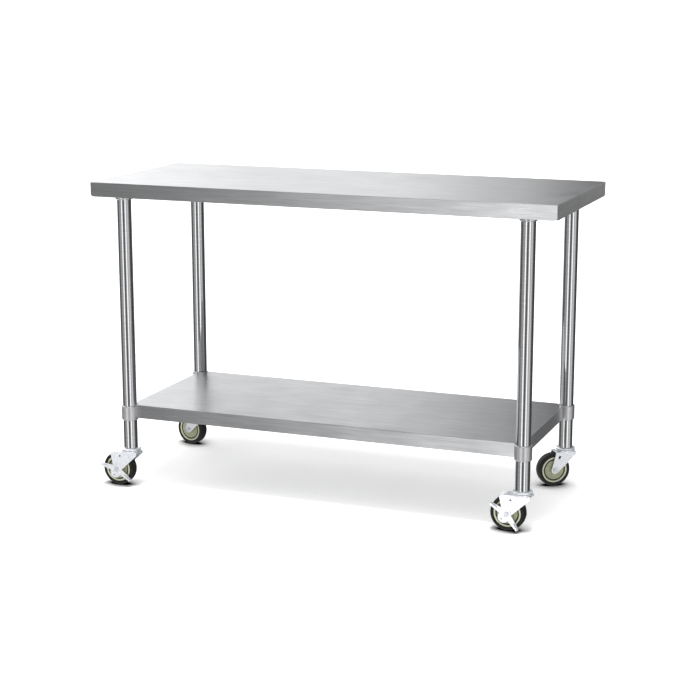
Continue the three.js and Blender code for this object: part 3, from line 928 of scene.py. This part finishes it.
@dataclass
class CasterStem:
    """The stem, the upper race under the leg and the kingpin, riveted into one piece."""

    caster: Caster
    race_bottom: float = -6.9
    stem_radius: float = 6.5
    stem_length: float = 52.0
    head_radius: float = 11.0
    head_top: float = -15.75
    head_height: float = 3.8

    def build(self) -> bpy.types.Mesh:
        """Turns the stem, with a raised lip round the leg's end and a rolled rim on the race."""
        race, kingpin, top = self.caster.race_radius, self.caster.kingpin_radius, -self.caster.gap
        head_bottom = self.head_top - self.head_height
        corners = [
            (0.0, head_bottom, 0),
            (self.head_radius, head_bottom, 1.2),
            (self.head_radius, self.head_top, 0.5),
            (kingpin, self.head_top, 0),
            (kingpin, self.race_bottom, 0),
            (race - 4.0, self.race_bottom, 0),
            (race - 4.0, self.race_bottom + 1.3, 0),
            (race, self.race_bottom + 1.3, 0.6),
            (race, top - 1.9, 1.2),
            (race - 3.0, top - 0.1, 1.0),
            (race - 6.8, top, 0.5),
            (self.stem_radius, top, 0),
            (self.stem_radius, self.stem_length, 1.5),
            (0.0, self.stem_length, 0),
        ]
        return lathe(fillet(corners, 4), closed=False)

    def dress(self) -> None:
        """Places the stem under its leg."""
        corner = self.caster.corner
        finish = [BRIGHT_ZINC.material()]
        place_piece(
            f"{corner}_stem_and_race", self.build(), self.caster.on_leg, finish, "frame", "zinc_plate",
            f"{corner}_caster_stem",
        )


@dataclass
class Fork:
    """The pressed fork: a bearing cup, a web over the wheel and two side plates down to the axle."""

    caster: Caster
    race_top: float = -7.4
    tyre_clearance: float = 2.75
    nominal_wheel: float = 55.0
    front: float = 30.2
    shoulder: float = -22.0
    plain_rear: float = -39.6
    hood_angle: float = math.radians(24)
    boss_radius: float = 12.1
    bend_radius: float = 3.7
    tuck: float = 1.4
    rib: float = 0.9
    hole: Corner = (-30.8, -28.0, 3.3)
    dimple: Point = (-44.0, -49.5)
    slot: Point = (-27.5, -30.2)
    slot_half: Point = (3.7, 2.4)
    slot_lean: float = math.radians(70)

    def __post_init__(self) -> None:
        """Works out the levels over the wheel."""
        self.hood_radius = self.nominal_wheel + self.tyre_clearance + self.caster.fork_sheet
        self.axle = (-self.caster.trail, -self.caster.drop)
        self.top = self.hood_radius - self.caster.drop
        self.underside = self.top - self.caster.fork_sheet

    def tangent(self, x: float, z: float, sign: int) -> float:
        """Gives the angle on the boss where a line from (x, z) touches it, on the side of the sign."""
        dx, dz = x - self.axle[0], z - self.axle[1]
        return math.atan2(dz, dx) + sign * math.acos(self.boss_radius / math.hypot(dx, dz))

    def side_outline(self) -> list[Point]:
        """Draws a side plate, which narrows from the cup to the boss round the axle.

        Returns:
            The outline in x and z. Its upper edge is tucked in under the web's bend.
        """
        above = math.pi / 2
        top = self.top - self.tuck
        rear_angle = above + self.hood_angle
        hood = arc(*self.axle, self.hood_radius - self.tuck, above, rear_angle, 8)
        rear_edge = hood if self.caster.braked else [(self.plain_rear, top)]
        start = self.tangent(*rear_edge[-1], 1)
        end = self.tangent(self.front, self.shoulder, -1) + 2 * math.pi
        boss = arc(*self.axle, self.boss_radius, start, end, 20)
        nose = fillet([(*boss[-1], 0), (self.front, self.shoulder, 2.5), (self.front, top, 0)])
        return boss + nose[1:] + rear_edge

    def side_hole(self) -> list[Point]:
        """Draws the hole in a side plate: round on a braked fork and a leaning slot on a plain one."""
        if self.caster.braked:
            return circle(*self.hole)
        (x, z), (half_width, half_straight), lean = self.slot, self.slot_half, self.slot_lean
        dx, dz = half_straight * math.cos(lean), half_straight * math.sin(lean)
        upper = arc(x + dx, z + dz, half_width, lean - math.pi / 2, lean + math.pi / 2, 12)
        lower = arc(x - dx, z - dz, half_width, lean + math.pi / 2, lean + 1.5 * math.pi, 12)
        return upper + lower

    def web(self) -> bpy.types.Mesh:
        """Presses the web, whose long edges bend down into the side plates.

        Returns:
            The web's mesh. On a braked fork it carries on as a hood round the tyre.
        """
        half, sheet, bend = self.caster.fork_outer, self.caster.fork_sheet, self.bend_radius
        skirt = -bend - 1.0
        outer = fillet([(half, skirt, 0), (half, 0, bend), (-half, 0, bend), (-half, skirt, 0)])
        side, tight = half - sheet, bend - sheet
        inner = fillet([(-side, skirt, 0), (-side, -sheet, tight), (side, -sheet, tight), (side, skirt, 0)])
        above = math.pi / 2
        stations = [((self.front, self.top), above)]
        if self.caster.braked:
            angles = [above + self.hood_angle * step / 10 for step in range(11)]
            points = arc(*self.axle, self.hood_radius, above, above + self.hood_angle, 10)
            stations += list(zip(points, angles))
        else:
            stations.append(((self.plain_rear, self.top), above))
        return sweep(outer + inner, stations)

    def front_rib(self, side: int) -> bpy.types.Mesh:
        """Presses the stiffening rib that runs down a side plate's slanting front edge.

        Args:
            side: which plate, -1 for the one at -Y and 1 for the other.

        Returns:
            The rib's mesh, half sunk in the plate.
        """
        touch = self.tangent(self.front, self.shoulder, -1)
        foot = Vector(arc(*self.axle, self.boss_radius, touch, touch, 1)[0])
        shoulder = Vector((self.front, self.shoulder))
        along = (shoulder - foot).normalized()
        inward = Vector((-along.y, along.x))
        start, end = foot + along * 16.5, shoulder - along * 1.6
        near, far = inward * 0.9, inward * 5.3
        corners = [(*(start + near), 0.8), (*(end + near), 1.5), (*(end + far), 1.5), (*(start + far), 2.0)]
        outline = fillet(corners)
        thickness = 2 * self.rib
        return upright(plate(outline, thickness, self.rib * 0.9), side * self.caster.fork_outer)

    def cup(self) -> bpy.types.Mesh:
        """Turns the bearing cup on top of the web, undercut below its rim."""
        race, bore = self.caster.race_radius, self.caster.kingpin_radius + self.caster.gap
        corners = [
            (bore, self.underside + 0.1, 0),
            (race - 6.0, self.underside + 0.1, 0),
            (race - 5.0, self.top + 1.1, 0),
            (race - 0.6, self.top + 1.1, 0.4),
            (race, self.top + 1.8, 0.4),
            (race, self.race_top - 0.7, 0.5),
            (race - 1.0, self.race_top, 0.4),
            (bore, self.race_top, 0),
        ]
        return lathe(fillet(corners, 4))

    def build(self) -> bpy.types.Mesh:
        """Joins the web, the plates, the ribs and the cup, and presses the dimples and the bore."""
        caster = self.caster
        outline = self.side_outline()
        holes = [circle(*self.axle, caster.axle_radius + caster.gap), self.side_hole()]
        parts = [self.cup()]
        for side in (-1, 1):
            face = side * (caster.fork_inner + caster.fork_sheet / 2)
            parts.append(upright(plate(outline, caster.fork_sheet - 0.06, 0.5, holes), face))
            parts.append(self.front_rib(side))
        body = combined("UNION", self.web(), *parts)
        cutters = [rod(caster.kingpin_radius + caster.gap, -caster.drop, 0, 48)]
        if caster.braked:
            for side in (-1, 1):
                dimple = lathe([(0, -1.2), (1.4, -0.8), (2.6, 0.5), (0, 0.5)], 24, closed=False)
                turned = Matrix.Rotation(side * -math.pi / 2, 4, "X")
                place = Matrix.Translation((self.dimple[0], side * caster.fork_outer, self.dimple[1]))
                cutters.append(moved(dimple, place @ turned))
        return combined("DIFFERENCE", body, *cutters)

    def dress(self) -> None:
        """Places the fork on its swivel."""
        corner = self.caster.corner
        finish = [BRIGHT_ZINC.material()]
        place_piece(
            f"{corner}_pressed_fork", self.build(), self.caster.on_swivel, finish, f"{corner}_caster", "zinc_plate",
            f"{corner}_fork",
        )


@dataclass
class Wheel:
    """A moulded centre with a black seal ring let into each face, and a rubber tyre."""

    caster: Caster
    hub_radius: float = 13.2
    hub_half_width: float = 18.0
    rim_radius: float = 43.0
    rim_half_width: float = 16.0
    seal: Point = (32.6, 37.2)
    tyre_half_width: float = 17.6

    def both_sides(self, face: Sequence[Corner]) -> list[Point]:
        """Closes an outline whose face is given as corners running outwards, the same on both sides."""
        other = [(radius, -side, rounding) for radius, side, rounding in reversed(face)]
        return fillet([*face, *other], 3)

    def centre(self) -> bpy.types.Mesh:
        """Moulds the centre: a hub, a dished face and a rim.

        Returns:
            The mesh about Z. The rim outside the seal ring has the second material, the paler copy that is painted
            light.
        """
        bore = self.caster.axle_radius + self.caster.gap
        inner, outer = self.seal
        dish, step = self.rim_half_width - 2.6, self.rim_half_width - 1.0
        face = [
            (bore, self.hub_half_width, 0.3),
            (self.hub_radius, self.hub_half_width, 0.9),
            (self.hub_radius + 1.4, dish, 1.2),
            (inner - 3.0, dish + 0.4, 3.0),
            (inner, step, 0.5),
            (inner, step - 2.4, 0.0),
            (outer, step - 2.4, 0.0),
            (outer, step + 0.4, 0.5),
            (self.rim_radius - 1.5, self.rim_half_width, 0.5),
            (self.rim_radius - self.caster.gap, self.rim_half_width - 0.8, 0.3),
        ]
        mesh = lathe(self.both_sides(face), 128)
        for polygon in mesh.polygons:
            polygon.material_index = int(polygon.center.xy.length > (inner + outer) / 2)
        return mesh

    def seal_ring(self) -> bpy.types.Mesh:
        """Turns the two seal rings, one in each face."""
        inner, outer = self.seal
        low, high = self.rim_half_width - 3.2, self.rim_half_width - 1.7
        near, far = inner + 0.1, outer - 0.1
        profile = fillet([(near, low, 0), (far, low, 0), (far, high, 0.6), (near, high, 0.6)])
        ring = bmesh.new()
        for sign in (1, -1):
            mesh = lathe([(radius, sign * height) for radius, height in profile], 96)
            ring.from_mesh(mesh)
            bpy.data.meshes.remove(mesh)
        return finished(ring)

    def tyre(self) -> bpy.types.Mesh:
        """Moulds the tyre, with a bead, a ribbed side wall and a crowned tread."""
        tread, side = self.caster.wheel_radius, self.tyre_half_width
        face = [
            (self.rim_radius, side - 1.6, 0.3),
            (self.rim_radius + 1.4, side - 0.5, 0.6),
            (self.rim_radius + 2.4, side - 0.9, 0.4),
            (self.rim_radius + 3.4, side - 0.1, 0.5),
            (tread - 4.6, side, 1.5),
            (tread - 1.7, side - 2.8, 3.0),
            (tread - 0.35, side - 7.0, 6.0),
            (tread - 0.35, side - 8.6, 0.2),
            (tread - 1.0, side - 9.0, 0.3),
            (tread - 0.25, side - 9.6, 0.2),
            (tread, 3.0, 8.0),
        ]
        return lathe(self.both_sides(face), 128)

    def dress(self) -> None:
        """Places the centre, the seal rings and the tyre on the wheel."""
        corner = self.caster.corner
        where = self.caster.on_axle @ Matrix.Rotation(math.pi / 2, 4, "X")
        body = f"{corner}_wheel"
        rubber = RUBBER.material()
        finishes = [OLIVE_CORE.material(), PALE_RIM.material()]
        core_node = f"{corner}_wheel_core"
        place_piece(f"{corner}_wheel_centre", self.centre(), where, finishes, body, "wheel_core", core_node)
        place_piece(f"{corner}_seal_rings", self.seal_ring(), where, [rubber], body, "tyre_rubber")
        place_piece(f"{corner}_rubber_tyre", self.tyre(), where, [rubber], body, "tyre_rubber", f"{corner}_tyre")


@dataclass
class Axle:
    """The axle bolt and its nut, both with chamfered hexagons."""

    caster: Caster
    hex_radius: float = 8.2
    head_height: float = 5.8
    nut_height: float = 7.1
    tail: float = 2.0

    def hexagon(self, start: float, end: float, chamfered: Sequence[float]) -> bpy.types.Mesh:
        """Cuts a hexagon about Z between two heights, with a turned chamfer at the ends named."""
        flat, full = self.hex_radius * 0.9, self.hex_radius + 0.2
        low = flat if start in chamfered else full
        high = flat if end in chamfered else full
        slope = 0.9
        profile = [(0, start), (low, start), (full, start + slope), (full, end - slope), (high, end), (0, end)]
        blank = prism(circle(0, 0, self.hex_radius, 6), start - 1, end + 1)
        return combined("INTERSECT", blank, lathe(profile, 48, closed=False))

    def bolt(self) -> bpy.types.Mesh:
        """Makes the bolt about Z, its head at the bottom."""
        caster = self.caster
        seat = -caster.fork_outer - caster.gap - (caster.pedal_sheet + caster.gap if caster.braked else 0)
        tail = caster.fork_outer + caster.gap + self.nut_height + self.tail
        bottom, radius = seat - self.head_height, caster.axle_radius
        shank = fillet([(0, seat - 1, 0), (radius, seat - 1, 0), (radius, tail, 0.8), (0, tail, 0)])
        return combined("UNION", lathe(shank, 48, closed=False), self.hexagon(bottom, seat, [bottom]))

    def nut(self) -> bpy.types.Mesh:
        """Makes the nut about Z."""
        seat = self.caster.fork_outer + self.caster.gap
        end = seat + self.nut_height
        bore = rod(self.caster.axle_radius + self.caster.gap, seat - 1, end + 1)
        return combined("DIFFERENCE", self.hexagon(seat, end, [seat, end]), bore)

    def dress(self) -> None:
        """Places the bolt and the nut through the fork."""
        corner = self.caster.corner
        where = self.caster.on_axle @ Matrix.Rotation(-math.pi / 2, 4, "X")
        body, finish = f"{corner}_caster", [SCREW_STEEL.material()]
        place_piece(f"{corner}_hex_bolt", self.bolt(), where, finish, body, "screw_steel", f"{corner}_axle_bolt")
        place_piece(f"{corner}_hex_nut", self.nut(), where, finish, body, "screw_steel", f"{corner}_axle_nut")


@dataclass
class BrakePedal:
    """The rocking brake pedal and the friction washer that it presses on the wheel hub."""

    caster: Caster
    arm: float = 59.5
    root_half: float = 11.0
    tip_half: float = 5.5
    tread_length: float = 26.4
    tread_width: float = 12.0
    rear_angle: float = math.radians(149)
    front_angle: float = math.radians(-53)
    hub_radius: float = 14.3
    skirt: Corner = (-8.8, -9.9, 17.6)
    skirt_hole: Corner = (-15.4, -15.4, 2.75)
    washer_radius: float = 13.2
    washer_sheet: float = 1.5
    stroke: float = 0.5

    def __post_init__(self) -> None:
        """Reads from the joints how far the pedal and the washer stand from their released places."""
        rock = JOINTS[f"{self.caster.corner}_pedal_rock"]
        press = JOINTS[f"{self.caster.corner}_washer_press"]
        self.rock = -math.radians(rock["range_deg"][1])
        self.press = self.stroke - press["range_m"][1] / MM
        self.face = -self.caster.fork_outer - self.caster.gap

    def arm_mesh(self, angle: float, tread_sign: int) -> bpy.types.Mesh:
        """Presses an arm: a bar narrowing to its tip, with a ribbed tread folded out along one edge.

        Args:
            angle: the arm's direction from the axle, from +X towards +Z.
            tread_sign: which edge carries the tread, 1 for the upper one before the arm is turned.

        Returns:
            The arm's mesh.
        """
        sheet, tip = self.caster.pedal_sheet, self.tip_half
        middle = self.face - sheet / 2
        root, end = self.root_half, self.arm
        bar_outline = fillet([(0, -root, 0), (end, -tip, 1.8), (end, tip, 1.8), (0, root, 0)])
        bar = upright(plate(bar_outline, sheet, 0.5), middle)
        start, outer = end - self.tread_length, self.face - sheet - self.tread_width
        edge, end = tread_sign * (tip - sheet / 2), end - 0.3
        tread_outline = fillet([(start, outer, 2.5), (end, outer, 2.5), (end, self.face, 0.3), (start, self.face, 0.3)])
        tread = moved(plate(tread_outline, sheet, 0.5), Matrix.Translation((0, 0, edge)))
        low, high = outer + 2, self.face - sheet - 1
        ribs = []
        for step in range(4):
            x = start + 5.5 + 5 * step
            loop = fillet([(x - 1, low, 0.9), (x + 1, low, 0.9), (x + 1, high, 0.9), (x - 1, high, 0.9)], 3)
            ribs.append(moved(plate(loop, 1.2, 0.3), Matrix.Translation((0, 0, edge + tread_sign * sheet / 2))))
        return moved(combined("UNION", bar, tread, *ribs), Matrix.Rotation(-angle, 4, "Y"))

    def pedal(self) -> bpy.types.Mesh:
        """Joins the arms, the hub and the skirt, and bores them."""
        sheet, gap = self.caster.pedal_sheet, self.caster.gap
        middle = self.face - sheet / 2
        skirt_x, skirt_z, skirt_radius = self.skirt
        hole_x, hole_z, hole_radius = self.skirt_hole
        hub = upright(plate(circle(0, 0, self.hub_radius), sheet - 0.02, 0.5), middle)
        skirt = upright(plate(circle(skirt_x, skirt_z, skirt_radius, 56), sheet + 0.02, 0.5), middle)
        arms = [self.arm_mesh(self.rear_angle, -1), self.arm_mesh(self.front_angle, 1)]
        bore = upright(rod(self.caster.axle_radius + gap, -5, 5), middle)
        hole = moved(upright(rod(hole_radius, -5, 5), middle), Matrix.Translation((hole_x, 0, hole_z)))
        return combined("DIFFERENCE", combined("UNION", skirt, hub, *arms), bore, hole)

    def washer(self) -> bpy.types.Mesh:
        """Turns the friction washer about Z, in its released place."""
        start = 0.2 - self.caster.fork_inner
        end, radius = start + self.washer_sheet, self.washer_radius
        bore = self.caster.axle_radius + self.caster.gap
        return lathe(fillet([(bore, start, 0.2), (radius, start, 0.3), (radius, end, 0.3), (bore, end, 0.2)], 2), 64)

    def dress(self) -> None:
        """Places the pedal and the washer as they stand at rest."""
        caster, corner = self.caster, self.caster.corner
        rocked = caster.on_axle @ Matrix.Rotation(self.rock, 4, "Y")
        pressed = caster.on_axle @ Matrix.Translation((0, self.press, 0)) @ Matrix.Rotation(-math.pi / 2, 4, "X")
        zinc, steel = [BRIGHT_ZINC.material()], [SCREW_STEEL.material()]
        place_piece(
            f"{corner}_rocking_pedal", self.pedal(), rocked, zinc, f"{corner}_pedal", "zinc_plate",
            f"{corner}_brake_pedal",
        )
        place_piece(
            f"{corner}_brake_washer", self.washer(), pressed, steel, f"{corner}_washer", "screw_steel",
            f"{corner}_friction_washer",
        )


# ---------------------------------------------------------------------------------------------
# Studio
# ---------------------------------------------------------------------------------------------
@dataclass
class Studio:
    """A white sweep under a soft sky, with bright panels and dark flags round the table.

    Two kinds of panel are painted on the sky. The belt just below the horizon is what the upright
    tubes mirror, and it changes with the bearing, from -Y towards +X in degrees. The rest changes
    with how far a direction leans along X, from -1 to 1, because a grain along X smears each highlight
    over directions that lean equally. The aprons mirror the front panels, and the worktop and the shelf
    mirror the back ones. Above the front hangs a bright bank, which draws a line along rounded edges.
    """

    camera_place: Corner = (1.9592, -5.0380, 1.6532)
    camera_yaw: float = 21.193
    camera_pitch: float = 12.511
    camera_lens: float = 87.573
    belt: tuple[Point, ...] = (
        (-180, 0.30),
        (-150, 0.50),
        (-119, 0.50),
        (-100, 0.08),
        (-87, 0.07),
        (-66, 0.32),
        (-47, 0.52),
        (-34, 0.48),
        (-29, 0.38),
        (-24, 0.95),
        (-19, 1.90),
        (-11, 1.90),
        (-4, 0.50),
        (3, 0.20),
        (14, 0.11),
        (24, 0.25),
        (33, 0.70),
        (39, 1.90),
        (47, 1.90),
        (55, 0.52),
        (63, 0.55),
        (73, 1.00),
        (88, 0.70),
        (100, 0.30),
        (112, 0.08),
        (135, 0.06),
        (150, 0.13),
        (166, 0.15),
        (180, 0.30),
    )
    front_panels: tuple[Point, ...] = (
        (-1.0, 1.30),
        (-0.75, 1.00),
        (-0.6, 0.10),
        (-0.5, 0.00),
        (-0.37, 0.05),
        (-0.31, 0.30),
        (-0.24, 0.90),
        (-0.15, 1.30),
        (0.3, 0.90),
        (1.0, 0.40),
    )
    back_panels: tuple[Point, ...] = (
        (-1.0, 1.30),
        (-0.6, 1.80),
        (-0.5, 1.85),
        (-0.405, 1.22),
        (-0.35, 1.30),
        (-0.315, 1.15),
        (-0.285, 0.75),
        (-0.262, 0.80),
        (-0.24, 0.20),
        (-0.21, 0.02),
        (0.06, 0.02),
        (0.14, 0.90),
        (0.24, 0.90),
        (0.32, 0.08),
        (1.0, 0.30),
    )
    bank: float = 1.9
    sun_strength: float = 1.7
    sun_width: float = 12.0
    sun_tilt: float = 8.0
    floor_size: float = 400.0
    floor_glow: float = 0.46

    def sky(self) -> None:
        """Paints the panels on the sky. The camera itself sees plain white behind the table."""
        world = bpy.data.worlds.new("studio")
        bpy.context.scene.world = world
        world.use_nodes = True
        tree = world.node_tree
        tree.nodes.clear()
        direction = add_node(tree, "ShaderNodeTexCoord").outputs["Generated"]
        axes = add_node(tree, "ShaderNodeSeparateXYZ", links={"Vector": direction}).outputs
        front = add_node(tree, "ShaderNodeMath", {"operation": "MULTIPLY", 1: -1.0}, {0: axes["Y"]}).outputs["Value"]
        bearing = add_node(tree, "ShaderNodeMath", {"operation": "ARCTAN2"}, {0: axes["X"], 1: front}).outputs["Value"]
        level = add_node(tree, "ShaderNodeMath", {"operation": "ARCSINE"}, {0: axes["Z"]}).outputs["Value"]
        belt = self.panels(tree, remapped(tree, bearing, (-math.pi, math.pi), (0, 1)), self.belt, 180.0)
        lean = remapped(tree, axes["X"], (-1, 1), (0, 1))
        facing, behind = (self.panels(tree, lean, panels, 1.0) for panels in (self.front_panels, self.back_panels))
        bank = add_node(tree, "ShaderNodeRGB").outputs["Color"]
        bank.default_value = (self.bank, self.bank, self.bank, 1.0)
        in_front = remapped(tree, front, (0.1, 0.3), (0, 1))
        in_belt = self.product(tree, self.share(tree, level, -30, -25), self.share(tree, level, -1, -5))
        in_bank = self.product(tree, in_front, self.share(tree, level, 52, 60))
        color = self.mixed(tree, remapped(tree, front, (-0.1, 0.1), (0, 1)), behind, facing)
        color = self.mixed(tree, in_belt, color, belt)
        color = self.mixed(tree, in_bank, color, bank)
        seen = add_node(tree, "ShaderNodeLightPath").outputs["Is Camera Ray"]
        white = {"data_type": "RGBA", 7: (1.0, 1.0, 1.0, 1.0)}
        shown = add_node(tree, "ShaderNodeMix", white, {0: seen, 6: color}).outputs[2]
        background = add_node(tree, "ShaderNodeBackground", links={"Color": shown})
        add_node(tree, "ShaderNodeOutputWorld", links={"Surface": background.outputs["Background"]})

    def panels(
        self, tree: bpy.types.NodeTree, place: bpy.types.NodeSocket, panels: Sequence[Point], reach: float
    ) -> bpy.types.NodeSocket:
        """Paints a row of panels.

        Args:
            tree: the sky's node tree.
            place: where a direction falls along the row, from 0 to 1.
            panels: the place of each panel, from -reach to reach, and its brightness up to 2.
            reach: the place of the row's two ends.

        Returns:
            The colour's socket.
        """
        stops = [(0.5 + at / (2 * reach), (light / 2, light / 2, light / 2, 1.0)) for at, light in panels]
        shades = color_ramp(tree, place, stops)
        return add_node(tree, "ShaderNodeVectorMath", {"operation": "SCALE", "Scale": 2.0}, {0: shades}).outputs[0]

    def share(
        self, tree: bpy.types.NodeTree, level: bpy.types.NodeSocket, none: float, full: float
    ) -> bpy.types.NodeSocket:
        """Gives a share that grows from 0 to 1 between two elevations in degrees."""
        return remapped(tree, level, (math.radians(none), math.radians(full)), (0, 1))

    def product(
        self, tree: bpy.types.NodeTree, first: bpy.types.NodeSocket, second: bpy.types.NodeSocket
    ) -> bpy.types.NodeSocket:
        """Multiplies two shares."""
        return add_node(tree, "ShaderNodeMath", {"operation": "MULTIPLY"}, {0: first, 1: second}).outputs["Value"]

    def mixed(
        self,
        tree: bpy.types.NodeTree,
        share: bpy.types.NodeSocket,
        under: bpy.types.NodeSocket,
        over: bpy.types.NodeSocket,
    ) -> bpy.types.NodeSocket:
        """Lays one colour over another by a share."""
        return add_node(tree, "ShaderNodeMix", {"data_type": "RGBA"}, {0: share, 6: under, 7: over}).outputs[2]

    def sun(self) -> None:
        """Hangs a wide soft light overhead, which gives the floor its shadow and no highlight."""
        light = bpy.data.lights.new("overhead", "SUN")
        light.energy = self.sun_strength
        light.angle = math.radians(self.sun_width)
        lamp = bpy.data.objects.new("overhead", light)
        lamp.rotation_euler = (math.radians(self.sun_tilt), 0.0, 0.0)
        lamp.visible_glossy = False
        bpy.context.scene.collection.objects.link(lamp)

    def floor(self) -> None:
        """Lays the white floor. It glows a little. Close to a wheel its colour and its emission go dark, which is a
        painted contact shadow.
        """
        material, tree, shader = blank_material("white_sweep", Roughness=1.0, Specular_IOR_Level=0.0)
        paper = noise(tree, 400.0, 2.0)
        tone = color_ramp(tree, paper, [(0.3, linear("F4F4F4")), (0.7, linear("F8F8F8"))])
        # Painted contact shadow: occlusion darkens the floor's colour and its emission near the wheels.
        contact = add_node(tree, "ShaderNodeAmbientOcclusion", {"samples": 16, "Distance": 0.08}).outputs["AO"]
        glow = remapped(tree, contact, (0.45, 0.95), (0.0, self.floor_glow))
        open_floor = remapped(tree, contact, (0.4, 0.85), (0.0, 1.0))
        settings = {"data_type": "RGBA", 6: (0.0, 0.0, 0.0, 1.0)}
        shaded = add_node(tree, "ShaderNodeMix", settings, {0: open_floor, 7: tone}).outputs[2]
        feed(tree, shader, Base_Color=shaded, Emission_Color=tone, Emission_Strength=glow)
        output = next(node for node in tree.nodes if node.type == "OUTPUT_MATERIAL")
        below = add_node(tree, "ShaderNodeNewGeometry").outputs["Backfacing"]
        clear = add_node(tree, "ShaderNodeBsdfTransparent").outputs["BSDF"]
        one_sided = add_node(tree, "ShaderNodeMixShader", links={0: below, 1: shader.outputs["BSDF"], 2: clear})
        tree.links.new(one_sided.outputs["Shader"], output.inputs["Surface"])
        half = self.floor_size / 2
        shape = bmesh.new()
        bmesh.ops.create_grid(shape, x_segments=1, y_segments=1, size=half)
        mesh = bpy.data.meshes.new("floor")
        shape.to_mesh(mesh)
        shape.free()
        mesh.materials.append(material)
        floor = bpy.data.objects.new("floor", mesh)
        floor.visible_glossy = False
        bpy.context.scene.collection.objects.link(floor)

    def camera(self) -> None:
        """Stands the camera in front of the table, towards its right end."""
        lens = bpy.data.cameras.new("camera")
        lens.lens = self.camera_lens
        lens.clip_end = 1000.0
        camera = bpy.data.objects.new("camera", lens)
        camera.location = self.camera_place
        camera.rotation_euler = (math.radians(90 - self.camera_pitch), 0.0, math.radians(self.camera_yaw))
        bpy.context.scene.collection.objects.link(camera)
        bpy.context.scene.camera = camera

    def dress(self) -> None:
        """Builds the studio and sets how its light is shown."""
        self.sky()
        self.sun()
        self.floor()
        self.camera()
        bpy.context.scene.view_settings.view_transform = "Standard"
        LOG.info("studio is up")


def main() -> None:
    """Builds the table piece by piece, then the studio round it."""
    logging.basicConfig(level=logging.INFO, format="%(message)s")
    FoldedTray("worktop", "worktop_sheet", corner_radius=13.0).dress()
    # The undershelf's sheet is drawn a little greyer than the worktop's: painted shade, for the worktop's shadow on it.
    FoldedTray("undershelf", "undershelf_sheet", notch_radius=27.5, light="CECFD1", dark="B4B5B7").dress()
    for corner in CORNERS:
        Leg(corner).dress()
        caster = Caster(corner)
        CasterStem(caster).dress()
        Fork(caster).dress()
        Wheel(caster).dress()
        Axle(caster).dress()
        if caster.braked:
            BrakePedal(caster).dress()
    HiddenSteel().dress()
    Studio().dress()


if __name__ == "__main__":
    main()
